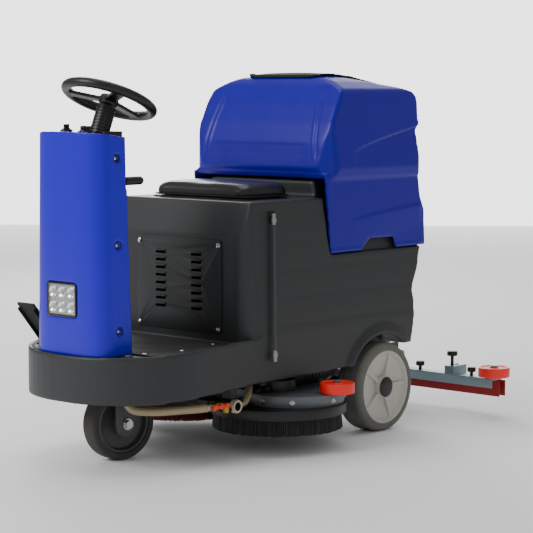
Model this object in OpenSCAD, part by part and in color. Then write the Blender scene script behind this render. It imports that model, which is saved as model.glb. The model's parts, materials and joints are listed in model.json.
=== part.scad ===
// Ride-on floor scrubber: twin disc brushes, rear squeegee, solution body, tilting recovery tank.
// Front is -Y, the driver's left is +X, the floor is z = 0. Modules are drawn with y = 0 at the
// rear axle and moved by place(), so the box of the whole machine is centred on the origin.

/* [Overall] */
// Distance between the front and rear axles
wheelbase = 793; // [720:1:960]
// How far the platform reaches ahead of the front axle
front_overhang = 210; // [190:1:250]
// Width of the body moulding
body_w = 524; // [440:1:630]
// Height of the footboard
platform_z = 300; // [285:1:330]
// Height of the deck that carries the seat
seat_z = 677; // [600:1:780]
// Wall of the body and tank mouldings
shell_wall = 6; // [4:0.5:8]

/* [Column] */
// Width of the column cover at its top
column_w = 240; // [200:1:290]
// Height of the top of the column
column_top_z = 870; // [780:1:960]
// Width of the headlight
headlight_w = 110; // [70:1:120]
// Height of the headlight
headlight_h = 88; // [60:1:100]

/* [Steering] */
// Outer diameter of the steering wheel
steer_wheel_d = 257; // [220:1:310]
// Backward tilt of the steering wheel from level
steer_tilt = 22.7; // [15:0.1:30]
// Angle that the front wheel stands turned to the right
steer_now = 10; // [-40:1:40]

/* [Wheels] */
// Diameter of the front wheel
front_wheel_d = 196; // [170:1:200]
// Width of the front tyre
front_tyre_w = 54; // [40:1:60]
// Diameter of the rear wheels
rear_wheel_d = 254; // [220:1:280]
// Width of the rear tyres
rear_tyre_w = 86; // [70:1:95]
// Diameter of the rear axle shafts
axle_d = 24; // [20:1:30]

/* [Seat] */
// Width of the seat cushion
cushion_w = 362; // [300:1:420]
// Thickness of the seat cushion
cushion_t = 36; // [30:1:60]

/* [Recovery tank] */
// Height of the tank from its floor to the roof under the lid
tank_h = 284; // [230:1:330]
// Width of the tank at its floor
tank_w = 512; // [430:1:620]
// Length of the black lid
lid_l = 300; // [240:1:304]

/* [Brush deck] */
// Diameter of each disc brush
brush_d = 360; // [300:1:362]
// Length of the bristles
bristle_l = 49; // [40:1:60]
// Height of the bristle tips above the floor with the deck up
brush_lift = 52; // [40:1:60]

/* [Squeegee] */
// Length of the squeegee blades
blade_l = 790; // [660:1:940]
// Height of the blade edge above the floor with the squeegee up
blade_lift = 62; // [50:1:70]

/* [Fits] */
// Radial clearance of a shaft that turns in its bore
run_fit = 0.08; // [0.03:0.01:0.1]
// Gap between pieces that pass each other
gap = 0.4; // [0.3:0.1:1]

/* [Hidden] */
$fn = 64;

// Overall places, with y = 0 at the rear axle
front_y = -(wheelbase + front_overhang);
rear_overhang = 472;
shift_y = -(front_y + rear_overhang) / 2;
front_axle_z = front_wheel_d / 2;
rear_axle_z = rear_wheel_d / 2;

// Body moulding
body_hw = body_w / 2;
seat_hw = body_hw - 22;
under_front = 176;
under_side = 194;
footwell_z = platform_z - 4;
rim_rear_z = platform_z + 18;
rim_w = 10;
seat_front = -562;
seat_top_front = -538;
riser_y = -228;
body_top = seat_z + 45;
panel_top = seat_z - 101;
panel_bottom = platform_z + 23;
panel_hw = 158;
panel_t = 3;
arch_r = rear_axle_z + 23;
arch_in = body_hw - 80;
arch_lip = 6;
arch_z = 199;
screw_r = 2.6;
sight_y = -460;
sight_foot_y = -480;
sight_low = 258;
sight_high = seat_z - 38;

// Seat
cushion_y0 = -492;
cushion_l = 200;

// Recovery tank
tank_z0 = body_top + 7;
tank_hw = tank_w / 2;
skirt_z = tank_z0 - 207;
skirt_x = tank_hw - 6;
skirt_t = 6;
ledge_hw = skirt_x - skirt_t - 6;
ledge_lean = 48;
foot_x = ledge_hw - ledge_lean - 32;
tank_roof = tank_z0 + tank_h;
tilt_x = -(skirt_x + 12);
tilt_z = skirt_z - 14;
lug_r = 8;
pin_r = 4;
lid_hw = 150;
lid_front = -140;
lid_rear = lid_front + lid_l;
lid_t = 12;
lid_hinge_y = lid_rear + 9;
lid_hinge_z = tank_z0 + 246 * tank_h / 284;
lid_pin_r = 3;
lid_knuckle_r = 6.5;
lid_hinge_xs = [-90, 62];
lid_knuckle_l = 28;
mouth_hw = 118;
mouth_front = lid_front + 24;
mouth_rear = lid_rear - 40;

// Chassis
rail_z = 206;
rail_h = 40;
rail_w = 30;
rail_x = 65;
rail_top = rail_z + rail_h;
filter_x = 210;
filter_y = -573;
filter_z = 137;
arm_pin_r = 8;
kingpin_r = 12.5;
chain_z = 266;
chain_h = 6;

// Steering column, measured back from the front edge
col_hw = column_w / 2;
col_foot_hw = col_hw + 11;
col_front = front_y + 18;
col_rear = front_y + 123;
col_foot_rear = front_y + 136;
col_foot_z = platform_z - 4 + gap;
col_wall = 5;
steer_y = front_y + 183;
steer_z = column_top_z + 78;
steer_tube_r = 13;
steer_ring_r = steer_wheel_d / 2 - steer_tube_r;
shaft_r = 9;
joint_z = column_top_z - 70;
joint_y = steer_y - (steer_z - joint_z) * tan(steer_tilt);
ball_r = 12;
dash_rear = front_y + 181;
dash_hw = 50;
dash_top = column_top_z - 4;
knob_y = front_y + 86;
key_x = -58;
speed_x = 14;
lever_x = 92;
lever_y = front_y + 103;
lever_z = column_top_z - 130;
stop_z = dash_top - 60;
pedal_x = 180;
pedal_y = front_y + 135;
pedal_z = platform_z + 14;
headlight_x = -8;
headlight_z = platform_z + 139;
screw_zs = [platform_z + 60, (platform_z + column_top_z) / 2 - 5, column_top_z - 70];

// Wheels
fork_leg_in = front_tyre_w / 2 + 8;
fork_leg_t = 8;
fork_leg_w = 72;
crown_z = front_wheel_d + 7;
crown_t = 10;
head_z = crown_z + crown_t + 9;
rear_out = body_hw + 17;
rear_in = rear_out - rear_tyre_w;

// Brush deck
brush_x = brush_d / 2 + 1.5;
deck_y = -362;
deck_r = brush_d / 2 + 10;
brush_top = brush_lift + bristle_l;
block_h = 16;
deck_bottom = brush_top + 22;
deck_top = deck_bottom + 30;
deck_plate_t = 4;
deck_wall = 5;
cup_r = deck_r - 53;
cup_x = brush_x + 36;
cup_y = deck_y + 30;
roller_post_r = 8;
motor_shaft_r = 12;
lift_rod_r = 10;
roller_x = 345;
roller_y = -303;
roller_r = 48;
roller_h = 29;

// Squeegee
sq_y = 415;
sq_hw = blade_l / 2;
channel_hw = sq_hw - 23;
blade_h = 47;
channel_top = blade_lift + 51;
arm_y = 120;
arm_z = 190;
swing_y = 345;
sq_roller_x = sq_hw - 20;
sq_roller_y = 400;
caster_x = 211;
caster_r = 18;
caster_y = rear_overhang - caster_r;

module place() { translate([0, shift_y, 0]) children(); }
module at(x, y, z) { translate([x, y, z]) children(); }
module along_x() { rotate([0, 90, 0]) children(); }
module along_y() { rotate([-90, 0, 0]) children(); }
module both() { children(); mirror([1, 0, 0]) children(); }

// A bar between two corners
module bar(a, b) { translate(a) cube(b - a); }

// A tube along z with its foot at z = 0
module pipe(outer, inner, h) {
    difference() {
        cylinder(r = outer, h = h);
        translate([0, 0, -1]) cylinder(r = inner, h = h + 2);
    }
}

// A rectangle with round corners, from corner a to corner b
module round_rect(a, b, r) {
    translate([a[0] + r, a[1]]) square([b[0] - a[0] - 2 * r, b[1] - a[1]]);
    translate([a[0], a[1] + r]) square([b[0] - a[0], b[1] - a[1] - 2 * r]);
    for (x = [a[0] + r, b[0] - r], y = [a[1] + r, b[1] - r]) translate([x, y]) circle(r);
}

// Draws a yz outline out to x = half_w on both sides
module side_slab(pts, half_w) {
    rotate([90, 0, 90]) translate([0, 0, -half_w]) linear_extrude(2 * half_w) polygon(pts);
}

// Draws an xz outline from y = y0 to y1
module front_slab(pts, y0, y1) {
    translate([0, y1, 0]) rotate([90, 0, 0]) linear_extrude(y1 - y0) polygon(pts);
}

// Moves each point of an outline towards the point c by t along both axes
function shrink(pts, c, t) = [for (p = pts) [p[0] - sign(p[0] - c[0]) * t, p[1] - sign(p[1] - c[1]) * t]];

// A bowed front: half of a superellipse of half width w and depth b, closed at y = rear
function bowed(w, front, b, n, rear) = concat(
    [for (a = [0 : 6 : 180])
        [w * sign(cos(a)) * pow(abs(cos(a)), 2 / n), front + b - b * pow(sin(a), 2 / n)]],
    [[-w, rear], [w, rear]]);

// A dome-headed screw with its seat at z = 0 and its shank below
module dome_screw(head_r, head_h, shank_r, shank_l) {
    intersection() {
        translate([0, 0, head_h - head_r * 1.6]) sphere(head_r * 1.6);
        cylinder(r = head_r, h = head_h);
    }
    translate([0, 0, -shank_l]) cylinder(r = shank_r, h = shank_l);
}

// Sweeps a round hose along points that are already smooth
function unit(v) = v / norm(v);
function hose_dir(p, i) = unit(p[min(i + 1, len(p) - 1)] - p[max(i - 1, 0)]);
function hose_ring(c, d, r, n) =
    let (s = unit(cross(d, abs(d[2]) > 0.9 ? [0, 1, 0] : [0, 0, 1])), t = cross(s, d))
    [for (k = [0 : n - 1]) c + r * (cos(360 * k / n) * s + sin(360 * k / n) * t)];
module hose(p, r, n) {
    rings = [for (i = [0 : len(p) - 1]) each hose_ring(p[i], hose_dir(p, i), r, n)];
    walls = [for (i = [0 : len(p) - 2], k = [0 : n - 1])
        [i * n + k, i * n + (k + 1) % n, (i + 1) * n + (k + 1) % n, (i + 1) * n + k]];
    polyhedron(rings, concat(walls, [[for (k = [n - 1 : -1 : 0]) k]],
        [[for (k = [0 : n - 1]) (len(p) - 1) * n + k]]));
}

// Outlines of the body: seen from the side, from the front and from above
body_side = [
    [seat_front, 150], [150, 150], [139, 243], [152, 300], [157, 360], [148, 395], [175, 450],
    [196, skirt_z - 4], [178, body_top], [riser_y, body_top], [riser_y, seat_z],
    [seat_top_front, seat_z], [seat_front, panel_top + 8], [seat_front, platform_z]
];
body_front = [
    [body_hw, 150], [body_hw, rim_rear_z], [seat_hw, seat_z], [seat_hw - 2, body_top],
    [2 - seat_hw, body_top], [-seat_hw, seat_z], [-body_hw, rim_rear_z], [-body_hw, 150]
];

// The underside slopes up from the front edge to the sides
module above_underside() {
    side_slab([[front_y - 50, under_front], [front_y + 60, under_front], [seat_front, under_side],
        [-150, arch_z], [90, arch_z], [94, arch_z + 44], [400, arch_z + 44], [400, 1200],
        [front_y - 50, 1200]], 400);
}

module body_mass(t) {
    side_slab(shrink(body_side, [-180, 400], t), 400);
}

module body_block(t) {
    intersection() {
        body_mass(t);
        front_slab(shrink(body_front, [0, 400], t), -700, 300);
        linear_extrude(900) round_rect([t - body_hw, seat_front + t], [body_hw - t, 230 - t], 60 - t);
    }
}

module platform_block(t, top) {
    linear_extrude(top) polygon(bowed(body_hw - t, front_y + t, body_hw - t, 2.3, -420));
}

// The wheel house: a tunnel over each rear wheel with an inner wall, and a lip outside
module wheel_house() {
    at(0, 0, rear_axle_z) along_x() {
        translate([0, 0, arch_in]) pipe(arch_r + 4, arch_r, body_hw - arch_in - 2);
        translate([0, 0, arch_in]) pipe(arch_r + 2, 44, 4);
    }
}

module arch_lips() {
    intersection() {
        at(0, 0, rear_axle_z) along_x() {
            translate([0, 0, body_hw - 8]) pipe(arch_r + 28, arch_r, 8 + arch_lip);
        }
        bar([0, -arch_r - 40, 0], [400, 138, 500]);
        above_underside();
    }
}

module wheel_space() {
    at(arch_in + 4, 0, rear_axle_z) along_x() cylinder(r = arch_r, h = 200);
}

// Draws a yz outline from x = x0 to x1
module side_slab_from(pts, x0, x1) {
    rotate([90, 0, 90]) translate([0, 0, x0]) linear_extrude(x1 - x0) polygon(pts);
}

// The skirts of the tank hang beside the top of the body, which leans in so that they clear it
// when the tank tilts
function skirt_outline(t) = [
    [-242 - t, tank_z0 + 5], [-215 - t, skirt_z - t], [260, skirt_z - t], [260, tank_z0 + 5]
];
module ledge(t) {
    both() intersection() {
        side_slab_from(skirt_outline(3 + t), 0, 400);
        front_slab([[400, skirt_z - 20], [ledge_hw - t, skirt_z - 20], [ledge_hw - t, skirt_z],
            [ledge_hw - ledge_lean - t, tank_z0 + 5], [400, tank_z0 + 5]], -400, 400);
    }
}

module cavity() {
    difference() {
        union() {
            body_block(shell_wall);
            bar([-body_hw + shell_wall, seat_front + shell_wall, 0],
                [body_hw - shell_wall, 100, footwell_z - shell_wall]);
            platform_block(shell_wall, footwell_z - shell_wall);
        }
        ledge(shell_wall);
        both() wheel_house();
    }
}

module above_rim() {
    side_slab([[front_y - 10, platform_z], [seat_front, rim_rear_z], [seat_front, 600],
        [front_y - 10, 600]], 400);
}

module mat_screw_spots() {
    for (p = [[body_hw - 76, -744], [body_hw - 100, -600], [body_hw - 104, -850]]) {
        both() at(p[0], p[1], platform_z) children();
    }
}

module panel_screw_spots() {
    both() for (z = [panel_bottom + 10, panel_top - 16]) {
        at(panel_hw - 10, seat_front - panel_t, z) rotate([90, 0, 0]) children();
    }
}

function column_side(z) = col_hw + 11 * (column_top_z - z) / (column_top_z - col_foot_z);
module column_screw_spots() {
    both() for (z = screw_zs) at(column_side(z) - 8, col_rear - 30, z) along_x() children();
}

module body_shell() {
    color("#3a3c3d") place() difference() {
        union() {
            intersection() {
                above_underside();
                union() {
                    body_block(0);
                    difference() {
                        platform_block(0, rim_rear_z);
                        translate([0, 0, footwell_z]) platform_block(rim_w, 60);
                        above_rim();
                    }
                }
            }
            both() arch_lips();
        }
        cavity();
        ledge(0);
        both() wheel_space();
        bar([-panel_hw + 22, seat_front - 5, panel_bottom + 22],
            [panel_hw - 22, seat_front + 12, panel_top - 30]);
        bar([8 - foot_x, -200, seat_z + 30], [foot_x - 8, 70, body_top + 5]);
        at(0, joint_y, footwell_z - 20) cylinder(r = shaft_r + 4, h = 40);
        mat_screw_spots() translate([0, 0, -30]) cylinder(r = screw_r + gap, h = 40);
        panel_screw_spots() translate([0, 0, -20]) cylinder(r = screw_r + gap, h = 40);
        for (p = [[sight_foot_y, sight_low], [sight_y, sight_high]])
            at(200, p[0], p[1]) along_x() cylinder(r = 4.5 + gap, h = 100);
    }
}

// A mat with round front corners lies inside the rim
module footboard_mat() {
    color("#1c1c1d") place() difference() {
        intersection() {
            translate([0, 0, footwell_z]) platform_block(rim_w + 4, platform_z - footwell_z);
            bar([-400, col_foot_rear + 4, 0], [400, seat_front - gap, platform_z]);
        }
        mat_screw_spots() translate([0, 0, -30]) cylinder(r = screw_r + gap, h = 40);
        bar([-dash_hw - 1, col_rear, 0], [dash_hw + 1, dash_rear + 1, 400]);
        // The pedal stands on the footboard itself
        bar([-pedal_x - 60, pedal_y - 30, 0], [-pedal_x + 39, pedal_y + 12, 400]);
    }
}

module body_screws() {
    color("silver") place() {
        mat_screw_spots() dome_screw(7, 3.5, screw_r, 12);
        panel_screw_spots() dome_screw(7, 4, screw_r, 10);
        column_screw_spots() dome_screw(5.5, 3, screw_r, 4);
    }
}

// One bank of louvres is a row of slots that each have a raised lip
module louvre_bank(x) {
    for (k = [0 : 7]) at(x - 20, seat_front - panel_t, panel_bottom + 58 + 21 * k) children();
}

module louvre_panel() {
    color("#404242") place() difference() {
        union() {
            translate([0, seat_front, 0]) rotate([90, 0, 0]) linear_extrude(panel_t)
                round_rect([-panel_hw, panel_bottom], [panel_hw, panel_top], 14);
            for (x = [-67, 67]) louvre_bank(x) translate([0, -5, 8]) cube([40, 6, 4]);
        }
        for (x = [-67, 67]) louvre_bank(x) translate([1, -3, 0]) cube([38, 10, 8]);
        panel_screw_spots() translate([0, 0, -20]) cylinder(r = screw_r + gap, h = 40);
    }
}

// The steel frame: two rails, cross bars, a head plate for the fork and hangers underneath
module chassis_frame() {
    color("#26282a") place() difference() {
        union() {
            both() bar([rail_x, front_y + 90, rail_z], [rail_x + rail_w, arm_y + 12, rail_top]);
            for (y = [-645, -480]) {
                bar([-body_hw + shell_wall + gap, y, rail_z],
                    [body_hw - shell_wall - gap, y + 26, rail_z + 20]);
            }
            // Head plate and tube that carry the kingpin
            bar([-rail_x, -wheelbase - 50, head_z], [rail_x, -wheelbase + 50, head_z + 8]);
            at(0, -wheelbase, head_z) cylinder(r = 27, h = chain_z - 8 - head_z);
            // Foot bearing plate of the steering column
            bar([-rail_x - 10, joint_y - 26, rail_top], [rail_x + 10, joint_y + 26, rail_top + 6]);
            // Cross member that holds the deck actuator
            bar([-rail_x, deck_y - 36, rail_top - 12], [rail_x, deck_y + 36, rail_top]);
            // Battery tray
            bar([-178, -545, rail_top], [178, -15, rail_top + 3]);
            both() {
                // Hangers of the transaxle and of the squeegee arm
                bar([rail_x, -34, rear_axle_z + 34], [rail_x + 8, 34, rail_z]);
                bar([rail_x, arm_y - 22, arm_z - 14], [rail_x + 8, arm_y + 12, rail_z]);
            }
            // Bracket of the water filter
            bar([rail_x + rail_w, filter_y - 12, rail_z], [filter_x, filter_y + 12, rail_z + 4]);
            bar([filter_x - 30, filter_y - 12, filter_z + 20 + gap], [filter_x, filter_y + 12, rail_z]);
        }
        at(0, -wheelbase, head_z - 10) cylinder(r = kingpin_r + 5, h = 80);
        at(0, joint_y, rail_top - 10) cylinder(r = shaft_r + 4, h = 30);
        at(0, deck_y, rail_top - 20) cylinder(r = lift_rod_r + 2, h = 80);
        at(-200, arm_y, arm_z) along_x() cylinder(r = arm_pin_r + run_fit, h = 400);
    }
}

module column_plan(half_w, front, rear) {
    polygon(bowed(half_w, front, 70, 3.4, rear));
}

// The blue cover leans outwards a little to its foot
module column_mass(t) {
    hull() {
        at(0, 0, col_foot_z - (t > 0 ? 5 : 0)) linear_extrude(1)
            column_plan(col_foot_hw - t, col_front + t, col_foot_rear + (t > 0 ? 9 : 0));
        at(0, 0, column_top_z + (t > 0 ? 5 : -1)) linear_extrude(1)
            column_plan(col_hw - t, col_front + t, col_rear + (t > 0 ? 9 : 0));
    }
}

module headlight_hole(t) {
    w = headlight_w / 2 + t;
    h = headlight_h / 2 + t;
    translate([headlight_x, 0, headlight_z]) rotate([90, 0, 0]) linear_extrude(2000)
        round_rect([-w, -h], [w, h], 9 + t);
}

module column_cover() {
    color("#3338c0") place() difference() {
        union() {
            difference() {
                column_mass(0);
                column_mass(col_wall);
            }
            column_screw_spots() translate([0, 0, -4]) cylinder(r = 14, h = 10);
        }
        side_slab([[col_front - 20, column_top_z], [col_rear + 30, column_top_z - 20],
            [col_rear + 30, column_top_z + 40], [col_front - 20, column_top_z + 40]], 300);
        headlight_hole(gap);
        column_screw_spots() {
            cylinder(r = 11, h = 30);
            translate([0, 0, -30]) cylinder(r = screw_r + gap, h = 60);
        }
    }
}

module headlight_housing() {
    color("#232326") place() difference() {
        intersection() {
            headlight_hole(0);
            bar([-200, col_front - 1.5, 0], [200, col_front + 45, 900]);
        }
        intersection() {
            headlight_hole(-5);
            bar([-200, col_front - 5, 0], [200, col_front + 20, 900]);
        }
    }
}

module headlight_lens() {
    color("#d9dde0") place() intersection() {
        headlight_hole(-5.3);
        bar([-200, col_front + 0.5, 0], [200, col_front + 4, 900]);
    }
}

// Square steel tube that stands in the column, with the pad of the controller
module column_frame() {
    color("#26282a") place() difference() {
        union() {
            bar([-28, joint_y - 26, footwell_z + gap], [28, joint_y + 26, joint_z + 20]);
            bar([-42, joint_y - 26, footwell_z + gap], [42, joint_y + 26, footwell_z + 6]);
            // Arms that carry the cover at its screws
            for (z = [screw_zs[0], screw_zs[2]]) {
                reach = column_side(z) - 12 - gap;
                bar([-reach, joint_y - 32, z - 8], [reach, joint_y - 26, z + 8]);
            }
        }
        bar([-25, joint_y - 23, footwell_z - 1], [25, joint_y + 23, joint_z + 30]);
    }
}

module control_box() {
    color("#1b1c1e") place()
        bar([-60, joint_y - 68, 500], [60, joint_y - 26 - gap, 660]);
}

module on_steer_axis(d) {
    translate([0, steer_y, steer_z]) rotate([-steer_tilt, 0, 0]) translate([0, 0, d]) children();
}

// Black rear panel of the column, with a channel round the steering shaft and a top
module dashboard() {
    color("#1d1d1f") place() difference() {
        union() {
            bar([-col_hw + col_wall + 1, col_rear - 6, footwell_z + gap],
                [col_hw - col_wall - 1, col_rear - 2, column_top_z - 24]);
            bar([-dash_hw, col_rear - 6, footwell_z + gap], [dash_hw, dash_rear, dash_top]);
            translate([0, 0, dash_top - 32]) linear_extrude(4)
                column_plan(col_hw - 8, col_front + 9, col_rear - 2);
            for (x = [key_x, speed_x]) at(x, knob_y, dash_top - 30) cylinder(r = 16, h = 34);
            // Ears of the direction lever
            for (x = [lever_x - 12, lever_x + 9]) {
                bar([x, lever_y - 12, lever_z - 14], [x + 3, col_rear - 5, lever_z + 14]);
            }
        }
        bar([-dash_hw + 4, col_rear - 60, footwell_z - 1], [dash_hw - 4, dash_rear - 4, dash_top - 32]);
        bar([-30, joint_y - 30, 200], [30, dash_rear - 4, dash_top - 5]);
        bar([lever_x - 9, lever_y, lever_z - 22], [lever_x + 9, col_rear + 10, lever_z + 22]);
        at(lever_x - 20, lever_y, lever_z) along_x() cylinder(r = pin_r + run_fit, h = 40);
        on_steer_axis(-130) cylinder(r = 17, h = 100);
        for (x = [key_x, speed_x]) at(x, knob_y, dash_top - 40) cylinder(r = 5 + run_fit, h = 80);
        at(0, dash_rear - 20, stop_z) along_y() cylinder(r = 8 + run_fit, h = 40);
    }
}

// Ribbed sleeve round the upper steering shaft
module steering_sleeve() {
    color("#151516") place() difference() {
        on_steer_axis(-110) union() {
            cylinder(r = 23, h = 88);
            for (k = [0 : 7]) translate([0, 0, 20 + 8.5 * k]) cylinder(r = 25.5, h = 5);
        }
        on_steer_axis(-130) cylinder(r = 18, h = 130);
        bar([-60, -2000, 0], [60, 0, dash_top + 0.2]);
    }
}

// Bushes of the steering: at the sleeve, at the foot of the column and at the kingpin
module steering_bearings() {
    color("#8d7a45") place() {
        on_steer_axis(-70) pipe(18 - 0.2, shaft_r + run_fit, 30);
        at(0, joint_y, rail_top) pipe(shaft_r + 3.9, shaft_r + run_fit, 12);
        at(0, -wheelbase, head_z) pipe(kingpin_r + 4.9, kingpin_r + run_fit, chain_z - 8 - head_z);
        at(0, -wheelbase, crown_z + crown_t + 0.2) pipe(26, kingpin_r + 0.5, 8.6);
    }
}

// The chain is a band round both sprockets
module steering_chain() {
    color("#4a4a4c") place() translate([0, 0, chain_z + 1]) linear_extrude(chain_h - 2) difference() {
        chain_loop(5);
        chain_loop(0.4);
    }
}

sprocket_small = 22;
sprocket_large = 44;
chain_run = -wheelbase - joint_y;
chain_lean = asin((sprocket_large - sprocket_small) / abs(chain_run));
module chain_loop(t) {
    r1 = sprocket_small + t;
    r2 = sprocket_large + t;
    a = chain_lean;
    translate([0, joint_y]) circle(r1);
    translate([0, -wheelbase]) circle(r2);
    polygon([
        [r1 * cos(a), joint_y - r1 * sin(a)], [r2 * cos(a), -wheelbase - r2 * sin(a)],
        [-r2 * cos(a), -wheelbase - r2 * sin(a)], [-r1 * cos(a), joint_y - r1 * sin(a)]
    ]);
}

module battery_pack() {
    color("#26282a") place() both() for (y = [-541, -281]) {
        bar([1, y, rail_top + 3 + gap], [175, y + 258, rail_top + 262]);
        for (k = [40, 218]) at(88, y + k, rail_top + 262) cylinder(r = 9, h = 14);
    }
}

module vacuum_motor() {
    color("#2d3033") place() at(-110, 98, body_top - shell_wall - gap - 150) {
        cylinder(r = 62, h = 60);
        translate([0, 0, 60]) cylinder(r = 50, h = 50);
        translate([0, 0, 110]) cylinder(r = 62, h = 40);
    }
}

function body_side_x(z) = body_hw - (body_hw - seat_hw) * (z - rim_rear_z) / (seat_z - rim_rear_z);
sight_lean = atan((body_side_x(sight_low) - body_side_x(sight_high)) / (sight_high - sight_low));
sight_rake = atan((sight_y - sight_foot_y) / (sight_high - sight_low));
sight_len = (sight_high - sight_low) / cos(sight_lean) / cos(sight_rake);
sight_off = 9;
module on_sight() {
    at(body_side_x(sight_low) + sight_off, sight_foot_y, sight_low)
        rotate([-sight_rake, -sight_lean, 0]) children();
}

module sight_tube() {
    color("#c8cdd0", 0.5) place() on_sight() translate([0, 0, 24]) pipe(5, 3.5, sight_len - 48);
}

// Each end fitting is an elbow that goes into the side of the body
module sight_fittings() {
    color("#9a9c9d") place() {
        on_sight() {
            translate([0, 0, -6]) cylinder(r = 6, h = 30);
            translate([0, 0, 6]) cylinder(r = 8, h = 12);
            translate([0, 0, sight_len - 24]) cylinder(r = 6, h = 30);
            translate([0, 0, sight_len - 18]) cylinder(r = 8, h = 12);
        }
        for (p = [[sight_foot_y, sight_low], [sight_y, sight_high]]) {
            at(body_side_x(p[1]) - 10, p[0], p[1]) along_x() cylinder(r = 4.5, h = 16);
        }
    }
}

// Water line: tank outlet, tap, filter, and up to the manifold over the deck
hose_r = 9;
hose_in_x = 95;
hose_in_y = -852;
tap_x = 220;
tap_y = -678;
tap_z = 148;
manifold_x = 120;
manifold_y = -420;
manifold_z = 206;
supply_in = [
    [hose_in_x, hose_in_y, 186], [95, -852, 172], [98, -850, 160], [106, -846, 151],
    [118, -835, 146], [134, -815, 144], [152, -792, 143], [170, -766, 144], [187, -740, 145],
    [203, -718, 146], [214, -703, 147], [tap_x, -690, tap_z], [tap_x, tap_y, tap_z]
];
supply_out = [
    [filter_x, filter_y + 24, filter_z], [filter_x, -541, filter_z], [208, -527, 141], [203, -513, 149],
    [197, -500, 158], [189, -488, 167], [178, -475, 174], [166, -462, 179], [152, -449, 182],
    [139, -437, 186], [128, -427, 190], [manifold_x, manifold_y, 197],
    [manifold_x, manifold_y, manifold_z]
];
module supply_hose() {
    color("#b3a48a") place() {
        hose(supply_in, hose_r, 12);
        hose(supply_out, hose_r, 12);
    }
}

// Fittings on the frame at both ends of the line, and the ball tap
module supply_valve() {
    color("#a8842c") place() {
        at(hose_in_x, hose_in_y, 186.3) cylinder(r = 11, h = rail_z - 186.5);
        at(manifold_x, manifold_y, manifold_z + 0.3) cylinder(r = 11, h = rail_top - manifold_z - 0.5);
        at(tap_x, tap_y + 0.3, tap_z) along_y() {
            cylinder(r = 11, h = 14);
            translate([0, 0, 14]) difference() {
                cylinder(r = 14, h = 26);
                translate([0, 0, tap_stem_at - 14]) rotate([0, 90, 0]) translate([0, 0, 5])
                    cylinder(r = tap_stem_r + run_fit, h = 20);
            }
            translate([0, 0, 40]) cylinder(r = 9, h = 26);
        }
        at(tap_x, tap_y + 66, tap_z - 22) cylinder(r = 9, h = 22);
    }
}

tap_stem_r = 4;
tap_stem_at = 27;
module valve_handle() {
    color("#d8262a") place() at(tap_x + 14 + gap, tap_y + 0.3 + tap_stem_at, tap_z) {
        along_x() {
            translate([0, 0, -8]) cylinder(r = tap_stem_r, h = 12);
            cylinder(r = 7, h = 7);
        }
        bar([2, -26, -3], [6, 26, 3]);
        for (y = [-22, 22]) bar([1, y - 8, -6], [7, y + 8, 6]);
    }
}

// Filter bowl on its side, with the ring of its cap, its outlet and the pipe from the tap
module supply_filter() {
    color("#202123") place() {
        at(filter_x - 44, filter_y, filter_z) along_x() cylinder(r = 20, h = 46);
        at(filter_x + 2.2, filter_y, filter_z) along_x() {
            pipe(17.5, 9, 14);
            cylinder(r = 8.8, h = 6);
        }
        at(filter_x, filter_y + 18, filter_z) along_y() cylinder(r = 8, h = 5.7);
        at(tap_x - 6, tap_y + 75.3, filter_z - 6) along_y()
            cylinder(r = 7, h = filter_y - tap_y - 92);
    }
}

module transaxle() {
    color("#3b3e40") place() {
        at(-rear_in + 4, 0, rear_axle_z) along_x() cylinder(r = axle_d / 2, h = 2 * rear_in - 8);
        at(-28, 0, rear_axle_z) along_x() cylinder(r = 62, h = 56);
        at(0, -190, rear_axle_z + 6) along_y() cylinder(r = 45, h = 140);
        both() {
            at(18, 0, rear_axle_z) along_x() cylinder(r = 24, h = rail_x - 18 - gap);
            at(rail_x + 8 + gap, 0, rear_axle_z) along_x() cylinder(r = 34, h = 14);
            at(rear_in - 14, 0, rear_axle_z) along_x() cylinder(r = 30, h = 6);
            at(rear_in - 8, 0, rear_axle_z) along_x() cylinder(r = axle_d / 2, h = rear_tyre_w - 16);
        }
    }
}

// Upright lift actuator: its rod belongs to the deck
module deck_actuator() {
    color("#8f9498") place() at(0, deck_y, rail_top - 12 - gap - 70)
        pipe(28, lift_rod_r + run_fit, 70);
}

seat_hinge_y = cushion_y0 + cushion_l + 9;
module seat_hinge_spots() {
    for (x = [-100, 100]) at(x, seat_hinge_y, seat_z + 6) children();
}

module tilt_spots() {
    for (y = [-110, 110]) at(tilt_x, y, tilt_z) children();
}

// Steel ears and pins of the seat hinge, the tank hinge and the pedal
module hinge_brackets() {
    color("#6f7376") place() {
        seat_hinge_spots() {
            for (x = [-18, 8 + gap]) bar([x, -5, -5.8], [x + 9.6, 6, 6]);
            translate([-10, 0, 0]) along_x() cylinder(r = 3, h = 20);
        }
        tilt_spots() {
            for (y = [-21, 15 + gap]) {
                bar([-6, y, -8], [-tilt_x - body_side_x(tilt_z - 8) - 0.4, y + 5.6, 8]);
            }
            translate([0, -18, 0]) along_y() cylinder(r = pin_r, h = 36);
        }
        at(-pedal_x, pedal_y, 0) {
            bar([-37, -16, footwell_z + 0.1], [37, 10, footwell_z + 4]);
            for (x = [-37, 32]) bar([x, -10, footwell_z + 2], [x + 5, 10, pedal_z + 10]);
            at(-33, 0, pedal_z) along_x() cylinder(r = pin_r, h = 66);
        }
    }
}

module accelerator_pedal() {
    color("#18191a") place() at(-pedal_x, pedal_y, pedal_z) difference() {
        union() {
            along_x() translate([0, 0, gap - 32]) cylinder(r = 9, h = 64 - 2 * gap);
            rotate([40, 0, 0]) {
                bar([-32, -6, 0], [32, 0, 132]);
                for (x = [-32, 28]) bar([x, -14, 0], [x + 4, -4, 120]);
                for (z = [26 : 16 : 122]) bar([-28, -2, z], [28, 3, z + 6]);
            }
        }
        along_x() translate([0, 0, -60]) cylinder(r = pin_r + run_fit, h = 120);
    }
}

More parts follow.
